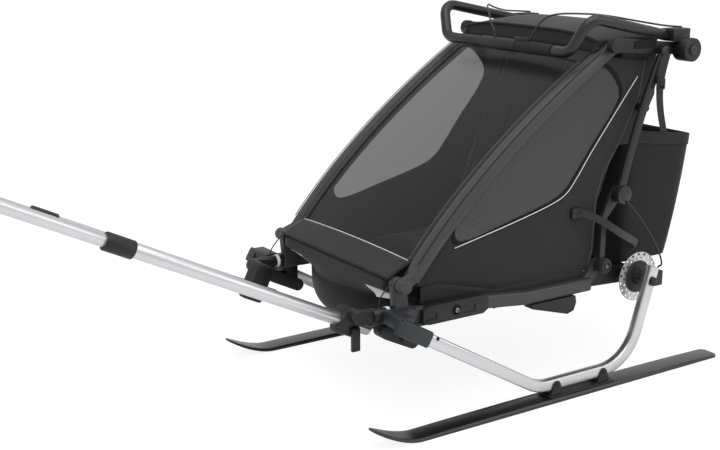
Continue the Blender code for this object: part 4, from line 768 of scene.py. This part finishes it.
flatPanels = {"cabinFloor": ((-0.2862, -0.505, 0.2977), (0.2862, -0.165, 0.3023)),
              "seatCurtain": ((-0.2600, -0.1725, 0.3025), (0.2600, -0.1695, 0.3505))}
for name, (low, high) in flatPanels.items():
    keepPiece(name, boxesOf(at(*low), at(*high)), "chassis", bagCloth)

skirt = {"x": 0.2868,
         "top": ((-0.716, 0.350), (-0.662, 0.352), (-0.470, 0.3030), (-0.148, 0.3030)),
         "low": ((-0.716, 0.304), (-0.662, 0.300), (-0.470, 0.280), (-0.148, 0.274))}


def skirtPlace(side, u, v):
    place = min(int(u * 3), 2)
    share = u * 3 - place
    edges = []
    for edge in (skirt["low"], skirt["top"]):
        edges.append(Vector(edge[place]).lerp(Vector(edge[place + 1]), share))
    y, z = edges[0].lerp(edges[1], v)
    return at(side * skirt["x"], y, z)


def wallPlace(side, u, v):
    # The tub's side, from its curved edge up to the rails
    low = tubPlace(1.0 if side > 0 else 0.0, u)
    low.x = side * (tub["half"] - 0.0006)
    low.z = part((low.z, tub["wallTop"]), v)
    return low


cheek = {"x": 0.2625, "y": -0.7500}
ledge = {"width": 0.0362, "y": -0.700, "length": 0.2, "z": 0.3030, "sag": 0.003}
patch = {"x": 0.160, "width": 0.068, "share": 0.04, "height": 0.56, "lift": 0.0045}


def cheekPlace(side, u, v):
    # Closes the gap from the nose to the front post
    inner = nosePlace(1.0 if side > 0 else 0.0, v)
    return inner.lerp(at(side * cheek["x"], cheek["y"], inner.z), u)


def ledgePlace(side, u, v):
    return at(side * (tub["half"] + ledge["width"] * u), ledge["y"] + ledge["length"] * v,
              ledge["z"] - ledge["sag"] * sin(pi * u))


def patchPlace(side, u, v):
    across = 0.5 + side * (patch["x"] + patch["width"] * u) / (2 * tub["noseHalf"])
    return nosePlace(across, patch["share"] + patch["height"] * v, patch["lift"])


for side, word in sides:
    for name, cells, place, material, wall in (
        ("Skirt", (36, 4), skirtPlace, coverCloth, "skirt"),
        ("TubWall", (48, 8), wallPlace, bagCloth, "lining"),
        ("NoseCheek", (8, 20), cheekPlace, frontCloth, "skirt"),
        ("TubLedge", (4, 20), ledgePlace, bagCloth, "lining"),
        ("ReflectivePatch", (10, 8), patchPlace, reflective, "tape"),
    ):
        sewn(word + name, cells, partial(place, side), "chassis", material, clothWall[wall])

print("nose is ready")


# Seat: a quilted back and a padded cushion

seat = {"bottom": (-0.180, 0.352), "top": (0.020, 0.880), "half": 0.258, "thick": 0.016,
        "channels": 9, "drawIn": 0.006}
seatSlope = atan2(seat["top"][1] - seat["bottom"][1], seat["top"][0] - seat["bottom"][0])
seatLength = hypot(seat["top"][0] - seat["bottom"][0], seat["top"][1] - seat["bottom"][1])


def blockOf(cuts, place):
    # A cube cut into a grid; place takes -1 to 1 across and gives a point
    bm = bmesh.new()
    bmesh.ops.create_cube(bm, size=1.0)
    bmesh.ops.subdivide_edges(bm, edges=bm.edges, cuts=cuts, use_grid_fill=True)
    for vert in bm.verts:
        vert.co = place(*(vert.co * 2))
    return bm


def seatPlace(x, v, lift=0.0):
    # A point on the seat back's line, lifted forward off it
    y = seat["bottom"][0] + v * seatLength * cos(seatSlope) - lift * sin(seatSlope)
    z = seat["bottom"][1] + v * seatLength * sin(seatSlope) + lift * cos(seatSlope)
    return at(x, y, z)


def quiltPlace(u, w, height):
    v = height / 2 + 0.5
    edge = max(0.0, 1 - abs(u) ** 10) * max(0.0, 1 - abs(2 * v - 1) ** 16)
    groove = min(1.0, abs(sin(pi * seat["channels"] * v)) * 3.0)
    middle = min(1.0, abs(u) * 26)
    swell = edge ** 0.5 * (0.55 + 0.45 * groove * middle)
    return seatPlace(u * seat["half"] * (1 - seat["drawIn"] * sin(pi * v)), v,
                     -seat["thick"] / 2 * w * swell)


seatBack = keepPiece("seatBackPad", blockOf(47, quiltPlace), "chassis", seatCloth,
                     60)
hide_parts("seat_back")
foldDown((seatBack,))


wing = {"x": 0.2575, "width": 0.0262, "height": 0.94, "lift": -0.003, "crown": 0.002}
for side, word in sides:
    cloth = sewn(word + "SeatWing", (4, 24), lambda u, v: seatPlace(
        side * (wing["x"] + wing["width"] * u), wing["height"] * v,
        wing["lift"] + wing["crown"] * sin(pi * u)),
        "chassis", seatCloth, clothWall["wing"])
    foldDown((cloth,))

harness = {"inner": 0.085, "outer": 0.175, "width": 0.026, "thick": 0.0016,
           "span": (0.12, 0.66), "lift": 0.0105, "sag": 0.003, "padWidth": 0.042, "padThick": 0.007}
for side, word in sides:
    for x, edge in ((harness["inner"], "Inner"), (harness["outer"], "Outer")):
        line = [seatPlace(side * x, part(harness["span"], i / 24),
                          harness["lift"] + harness["sag"] * sin(pi * i / 24)) for i in range(25)]
        belt = ribbon(line, harness["width"], harness["thick"], (1, 0, 0))
        pad = ribbon(line[12:22], harness["padWidth"], harness["padThick"], (1, 0, 0))
        foldDown((
            keepPiece(word + "Harness" + edge, belt, "chassis", webbing),
            keepPiece(word + "HarnessPad" + edge, pad, "chassis", seatCloth),
        ))

cushion = {"x": 0.245, "y": -0.350, "halfDepth": 0.15, "bottom": 0.3028, "height": 0.042}


def cushionPlace(u, v, height):
    w = height / 2 + 0.5
    pull = 1 - 0.012 * (1 - abs(v) ** 2)
    edge = max(0.0, 1 - abs(u) ** 8) * max(0.0, 1 - abs(v) ** 8)
    groove = min(1.0, abs(u) * 14) * min(1.0, abs(abs(v) - 0.36) * 9)
    z = cushion["bottom"] + cushion["height"] * w * (0.55 + 0.45 * edge * (0.6 + 0.4 * groove))
    return at(cushion["x"] * u * (pull if abs(u) > 0.99 else 1),
              cushion["y"] + cushion["halfDepth"] * v, z)


seatCushion = keepPiece("seatCushionPad", blockOf(31, cushionPlace), "chassis", seatCloth,
                        60)
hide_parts("seat_cushion")

print("seat is ready")


# Cargo bag: an open lofted shell with a stiff rim band

bag = {    # half, front and rear are at the base and at the rim, rim is its front and rear height
    "bottomZ": 0.283, "half": (0.235, 0.260), "front": (0.012, -0.006), "rear": (0.222, 0.272),
    "rim": (0.672, 0.636), "belly": 0.012, "wall": 0.003, "power": 0.16,
}


def squared(value):
    # Turns a circle's cosine or sine into a rounded square's
    return copysign(abs(value) ** bag["power"], value) if abs(value) > 1e-9 else 0.0


def bagPlace(angle, share, shrink=0.0):
    # angle goes round the bag, share from its base to its rim
    half = part(bag["half"], share) - shrink
    front = part(bag["front"], share) + shrink
    rear = part(bag["rear"], share) + bag["belly"] * sin(pi * share) - shrink
    x = half * squared(cos(angle))
    y = (front + rear) / 2 + (rear - front) / 2 * squared(sin(angle))
    rim = part(bag["rim"], (y - front) / (rear - front))
    return at(x, y, part((bag["bottomZ"], rim), share))


def evenAngles(count):
    # Angles that step evenly round the bag's squared outline
    fine = 2400
    dense = [2 * pi * i / fine for i in range(fine)]
    points = [bagPlace(a, 0.5) for a in dense]
    run = [0.0]
    for a, b in zip(points, points[1:] + points[:1]):
        run.append(run[-1] + (b - a).length)
    found = []
    index = 0
    for i in range(count):
        goal = run[-1] * i / count
        while run[index + 1] < goal:
            index += 1
        found.append(dense[index])
    return found


bagAngles = evenAngles(120)


def bagShell():
    last = len(bagAngles)

    def place(u, v):
        angle = bagAngles[round(u * last) % last]
        point = bagPlace(angle, v, 0.0015)
        droop = 0.0024 * sin(7 * angle) * sin(pi * v) + 0.0016 * sin(13 * angle + 5 * v)
        point.y += droop * (1 - v) * 0.6
        point.x -= abs(droop) * 0.5 * (1 if point.x > 0 else -1)
        return point

    bm = gridOf(last, 36, place)
    bmesh.ops.remove_doubles(bm, verts=bm.verts, dist=clothWeld)
    rim = [e for e in bm.edges if e.is_boundary]
    low = min(v.co.z for v in bm.verts)
    base = [e for e in rim if (e.verts[0].co.z + e.verts[1].co.z) / 2 < low + 0.02]
    bmesh.ops.contextual_create(bm, geom=base)
    return bm


bagPiece = keepPiece("cargoBagShell", bagShell(), "chassis", bagCloth, 50)
thicken(bagPiece, bag["wall"], 0)
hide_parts("cargo_bag")
bandPiece = sewn("cargoBagRim", (len(bagAngles), 4), lambda u, v: bagPlace(
    bagAngles[round(u * len(bagAngles)) % len(bagAngles)], 1 - 0.09 * v, -0.0008),
    "chassis", bindingTape, clothWall["rim"])
foldDown((bagPiece, bandPiece))

print("cargo bag is ready")


# The rigid parts: each CAD solid again, with its edges broken and its round faces smooth

def camel(name):
    words = name.split("_")
    return words[0] + "".join(word.title() for word in words[1:])


# Widths of the broken edges by slot, the angles that count as flat, an edge and smooth
easing = {"frame_tube": 0.0012, "ski_top": 0.0016, "width": 0.0007, "weld": 0.00002,
          "flat": radians(0.6), "edge": radians(34), "smooth": 38}


def eased(name, width):
    node = nodes[name]
    points = [vert.co for vert in node.data.vertices]
    mesh = bpy.data.meshes.new(name + "Plain")
    mesh.from_pydata(points, [], [face.vertices for face in node.data.polygons])
    bm = bmesh.new()
    bm.from_mesh(mesh)
    bmesh.ops.remove_doubles(bm, verts=bm.verts, dist=easing["weld"])
    bmesh.ops.dissolve_limit(bm, angle_limit=easing["flat"], verts=bm.verts, edges=bm.edges)
    bmesh.ops.recalc_face_normals(bm, faces=bm.faces)
    sharp = [e for e in bm.edges
             if len(e.link_faces) == 2 and e.calc_face_angle() > easing["edge"]]
    rounded(bm, sharp, width, 2, clamp=True)
    piece = keepPiece(camel(name), bm, node["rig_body"], node.material_slots[0].material,
                      easing["smooth"], fineWeld)
    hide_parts(name)
    return piece


softSlots = ("panel_fabric", "cushion_fabric", "bag_fabric", "cable_black")
for name in sorted(nodes):
    if nodeSlots[name] not in softSlots and "rotor" not in name:
        eased(name, easing.get(nodeSlots[name], easing["width"]))

print("rigid parts are ready")


# Turned pieces: a profile of (distance along, radius) spun about an axis

def turned(name, centre, axis, profile, body, material, steps=32):
    bm = bmesh.new()
    last = None
    edges = []
    for along, radius in profile:
        vert = bm.verts.new((0, radius, along))
        if last is not None:
            edges.append(bm.edges.new((last, vert)))
        last = vert
    bmesh.ops.spin(bm, geom=bm.verts[:] + edges, cent=(0, 0, 0), axis=(0, 0, 1),
                   angle=2 * pi, steps=steps, use_merge=True)
    bmesh.ops.remove_doubles(bm, verts=bm.verts, dist=0.00001)
    turn = Vector((0, 0, 1)).rotation_difference(Vector(axis)).to_matrix().to_4x4()
    bmesh.ops.transform(bm, matrix=Matrix.Translation(centre) @ turn, verts=bm.verts)
    return keepPiece(name, bm, body, material, 35, fineWeld)


def screwHead(name, centre, axis, size, body):
    # A socket screw head: a chamfered disc with a round recess
    r = size / 2
    turned(name, centre, axis, ((0, 0), (0, r), (r * 0.55, r), (r * 0.8, r * 0.8),
           (r * 0.8, r * 0.5), (r * 0.3, r * 0.45), (r * 0.3, 0)), body, boltSteel,
           18)


rotor = {"x": 0.3300, "outer": 0.070, "inner": 0.046, "half": 0.0009, "sectors": 18,
         "hole": 0.0042}


def rotorRing(side):
    # Two rows of cells, each with a round hole, the rows half a cell apart
    bm = bmesh.new()
    step = 2 * pi / rotor["sectors"]
    middle = (rotor["outer"] + rotor["inner"]) / 2
    for row, (low, high) in enumerate(((rotor["inner"], middle), (middle, rotor["outer"]))):
        for k in range(rotor["sectors"]):
            base = (k + row / 2) * step
            corners = ((0, low), (0.5, low), (1, low), (1, (low + high) / 2), (1, high),
                       (0.5, high), (0, high), (0, (low + high) / 2))
            outer = [bm.verts.new((r * cos(base + a * step), r * sin(base + a * step), 0))
                     for a, r in corners]
            r = (low + high) / 2
            hub = Vector((r * cos(base + step / 2), r * sin(base + step / 2), 0))
            inner = []
            for vert in outer:
                way = (vert.co - hub).normalized()
                inner.append(bm.verts.new(hub + way * rotor["hole"] * (1 if row else 0.85)))
            for i in range(8):
                j = (i + 1) % 8
                bm.faces.new((outer[i], outer[j], inner[j], inner[i]))
    bmesh.ops.remove_doubles(bm, verts=bm.verts, dist=clothWeld)
    bmesh.ops.solidify(bm, geom=bm.faces[:], thickness=2 * rotor["half"])
    turn = Matrix.Rotation(pi / 2, 4, "Y")
    place = Matrix.Translation(at(side * rotor["x"], 0, hubHigh.z / 2 + hubLow.z / 2))
    bmesh.ops.transform(bm, matrix=place @ turn, verts=bm.verts)
    return bm


for side, word in sides:
    node = word + "_brake_rotor"
    disc = keepPiece(word + "RotorDisc", rotorRing(side), nodes[node]["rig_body"], groundSteel,
                     30, fineWeld)
    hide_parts(node)

print("rotors are ready")


# Knobs, caps, rings and screws, on the left and right alike, and dark pieces painted as shade in
# holes, slots, a recess and grooves

fittings = {
    "hinge": (0.3006, -0.775, 0.365), "middle": (0.3303, -0.078, 0.515),
    "lower": (0.3303, -0.1235, 0.3195), "housing": (0.3293, -0.632, 0.2885),
    "ring": (0.276, -0.809, 0.297), "legHole": (0.3876, -0.7338, 0.2494),
}
profiles = {
    "knob": ((0, 0.0150), (0.007, 0.0150), (0.0095, 0.0132), (0.0095, 0.0085), (0.0075, 0.0075),
             (0.0075, 0)),
    # recess: a flat dark ring, painted shade in the recess round the housing's screw
    "recess": ((0, 0.0135), (0.0007, 0.0135), (0.0007, 0.0075)),
    # hole: a thin dark disc, painted shade standing for the hole in each ski leg
    "hole": ((-0.0004, 0.0048), (0.0004, 0.0048), (0.0004, 0)),
}
# Thin dark boxes in the two slots of each housing: painted shade
slotShades = {"x": (0.3289, 0.3297), "places": ((-0.711, 0.287), (-0.590, 0.2865))}
bracketPad = {"low": (0.3142, -0.046, 0.9010), "high": (0.3158, 0.036, 0.9240), "round": 0.005}
# A thin dark cord along each front tube: painted shade in its groove
grooveShade = {"x": 0.2992, "across": 0.0182, "radius": 0.0012}
ringBand = {"radius": 0.0176, "half": 0.0045}


def spot(side, key, out=0.0):
    # A fitting's place, moved outward
    x, y, z = fittings[key]
    return at(side * (x + out), y, z)


def capProfile(radius):
    return ((0, radius), (0.003, radius), (0.0055, radius * 0.86), (0.0055, radius * 0.55),
            (0.0035, radius * 0.5), (0.0035, 0))


for side, word in sides:
    out = (side, 0, 0)
    turned(word + "HingeKnob", spot(side, "hinge"), out, profiles["knob"], "folding_front",
           mouldedNylon)
    screwHead(word + "HingeScrew", spot(side, "hinge", 0.0072), out, 0.010, "folding_front")
    for key, radius in (("middle", 0.0175), ("lower", 0.0190)):
        turned(word + key.title() + "Cap", spot(side, key), out, capProfile(radius), "links",
               mouldedNylon)
        screwHead(word + key.title() + "Screw", spot(side, key, 0.0033), out, 0.010, "links")
    screwHead(word + "HousingScrew", spot(side, "housing"), out, 0.013, "chassis")
    # A dark ring round the housing screw: painted shade in its recess
    turned(word + "HousingRecess", spot(side, "housing", -0.0002), out, profiles["recess"],
           "chassis", blackTapeAndPaintedShade)
    # A dark disc on the ski leg's outer face: painted shade where the leg has a hole
    turned(word + "LegHole", spot(side, "legHole"), out, profiles["hole"],
           nodes[word + "_ski_leg"]["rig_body"], blackTapeAndPaintedShade, 20)
    # The housing's two slots filled with thin dark boxes: painted shade
    inX, outX = (side * x for x in slotShades["x"])
    for letter, (y, z) in zip("AB", slotShades["places"]):
        bm = boxesOf(at(inX, y - 0.016, z - 0.0105), at(outX, y + 0.014, z - 0.0085),
                     at(inX, y + 0.0142, z - 0.0105), at(outX, y + 0.0172, z + 0.0080))
        keepPiece(word + "HousingSlot" + letter, bm, "chassis", blackTapeAndPaintedShade)
    # A dark cord along the tube's groove: painted shade
    line = [at(side * grooveShade["x"], *curvePoint(0.10 + 0.86 * i / 60, grooveShade["across"]))
            for i in range(61)]
    keepPiece(word + "TubeGroove", tubeAlong(line, grooveShade["radius"], 8), "folding_front",
              blackTapeAndPaintedShade)
    band = [spot(side, "ring") + Vector((0, y, 0)) for y in (-ringBand["half"], ringBand["half"])]
    keepPiece(word + "ArmRing", tubeAlong(band, ringBand["radius"], 24), "chassis", reflective)

    bm = boxesOf(*mirrored(side, (bracketPad["low"], bracketPad["high"])))
    corners = [e for e in bm.edges if abs(e.verts[0].co.x - e.verts[1].co.x) > 0.001]
    rounded(bm, corners, bracketPad["round"], 4)
    keepPiece(word + "BracketPad", bm, "folding_front", blackTapeAndPaintedShade)

print("fittings are ready")


# Webbing: the upright strap with its ladder lock, and the side strap with its buckle

def ladderLock(centre, size, bar):
    # Two side bars and three cross bars, standing in the YZ plane
    x, y, z = centre
    half, thin, deep = size / 2, bar / 2, bar * 0.7
    corners = []
    for dy in (-half, half):
        corners += [(x - thin, y + dy - thin, z - half), (x + thin, y + dy + thin, z + half)]
    for dz in (-half, 0.0, half):
        corners += [(x - deep, y - half, z + dz - thin), (x + deep, y + half, z + dz + thin)]
    return boxesOf(*corners)


strap = {"width": 0.020, "thick": 0.0015,
         "upright": ((0.3465, 0.046, 0.886), (0.340, 0.034, 0.806), (0.300, 0.083, 0.731),
                     (0.2640, 0.142, 0.655)),
         "side": ((0.2900, -0.204, 0.478), (0.334, -0.159, 0.456), (0.3475, -0.090, 0.412),
                  (0.300, 0.020, 0.358), (0.2425, 0.079, 0.327)),
         "lock": ((0.3415, 0.034, 0.806),), "lockSize": 0.026, "bar": 0.004,
         "buckle": ((0.2885, -0.224, 0.458), (0.2985, -0.190, 0.486)), "round": 0.003}
for side, word in sides:
    bm = ribbon(curveThrough(mirrored(side, strap["upright"]), 40), strap["width"],
                strap["thick"], (side * 0.35, 0.94, 0))
    hanging = keepPiece(word + "UprightStrap", bm, "chassis", webbing)
    bm = ladderLock(*mirrored(side, strap["lock"]), strap["lockSize"], strap["bar"])
    lock = keepPiece(word + "LadderLock", bm, "chassis", mouldedNylon)
    bm = ribbon(curveThrough(mirrored(side, strap["side"]), 40), strap["width"],
                strap["thick"], (0, 0.5, 0.87))
    belt = keepPiece(word + "SideStrap", bm, "chassis", webbing)
    bm = boxesOf(*mirrored(side, strap["buckle"]))
    rounded(bm, bm.edges[:], strap["round"], 3)
    buckle = keepPiece(word + "SideBuckle", bm, "chassis", mouldedNylon)
    foldDown((hanging, lock, belt, buckle))

print("straps are ready")


# Brake cables

cable = {
    "diameter": 0.005, "steps": 70, "sides": 12, "stiffness": "stiff", "lay": "hanging",
    "lowestZ": 0.2773,
    "left_upper": ((0.1018, -0.226, 0.9181), (0.1065, -0.226, 0.9191), (0.1135, -0.217, 0.945),
                   (0.1255, -0.195, 0.975), (0.1502, -0.165, 0.9877), (0.198, -0.11, 0.9885),
                   (0.2343, -0.07, 0.9845), (0.282, 0, 0.970), (0.308, 0.06, 0.959),
                   (0.313, 0.098, 0.9545), (0.314, 0.13, 0.9515)),
    "right_upper": ((-0.0445, -0.226, 0.9233), (-0.0445, -0.226, 0.930), (-0.065, -0.222, 0.950),
                    (-0.0916, -0.21, 0.9759), (-0.1226, -0.19, 0.9913), (-0.1486, -0.165, 0.995),
                    (-0.185, -0.12, 0.985), (-0.245, -0.04, 0.970), (-0.29, 0.03, 0.960),
                    (-0.304, 0.098, 0.9545), (-0.305, 0.13, 0.9515)),
    "lower": ((0.3458, -0.072, 0.497), (0.3495, -0.036, 0.460), (0.350, 0.016, 0.398),
              (0.350, 0.058, 0.338), (0.3485, 0.075, 0.300), (0.336, 0.0765, 0.288),
              (0.336, 0.0765, 0.2773)),
}
safetyCord = {
    "diameter": 0.0034, "steps": 30, "sides": 10, "stiffness": "medium", "lay": "taut",
    "line": ((0.272, -0.788, 0.3745), (0.271, -0.811, 0.353), (0.2715, -0.8265, 0.334),
             (0.2735, -0.829, 0.3150)),
}


def layCord(name, points, cord, body, node=None):
    line = curveThrough(points, cord["steps"])
    piece = keepPiece(name, tubeAlong(line, cord["diameter"] / 2, cord["sides"]), body, cableSkin)
    if node:
        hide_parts(node)
    return piece


for side, word in sides:
    upper, lower = word + "_upper_brake_cable", word + "_lower_brake_cable"
    layCord(camel(upper), mirrored(1, cable[word + "_upper"]), cable, nodes[upper]["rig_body"],
            upper)
    piece = layCord(camel(lower), mirrored(side, cable["lower"]), cable, nodes[lower]["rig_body"],
                    lower)
    foldDown((piece,))
for side, word in sides:
    layCord(word + "SafetyCord", mirrored(side, safetyCord["line"]), safetyCord, "chassis")

print("cables are ready")


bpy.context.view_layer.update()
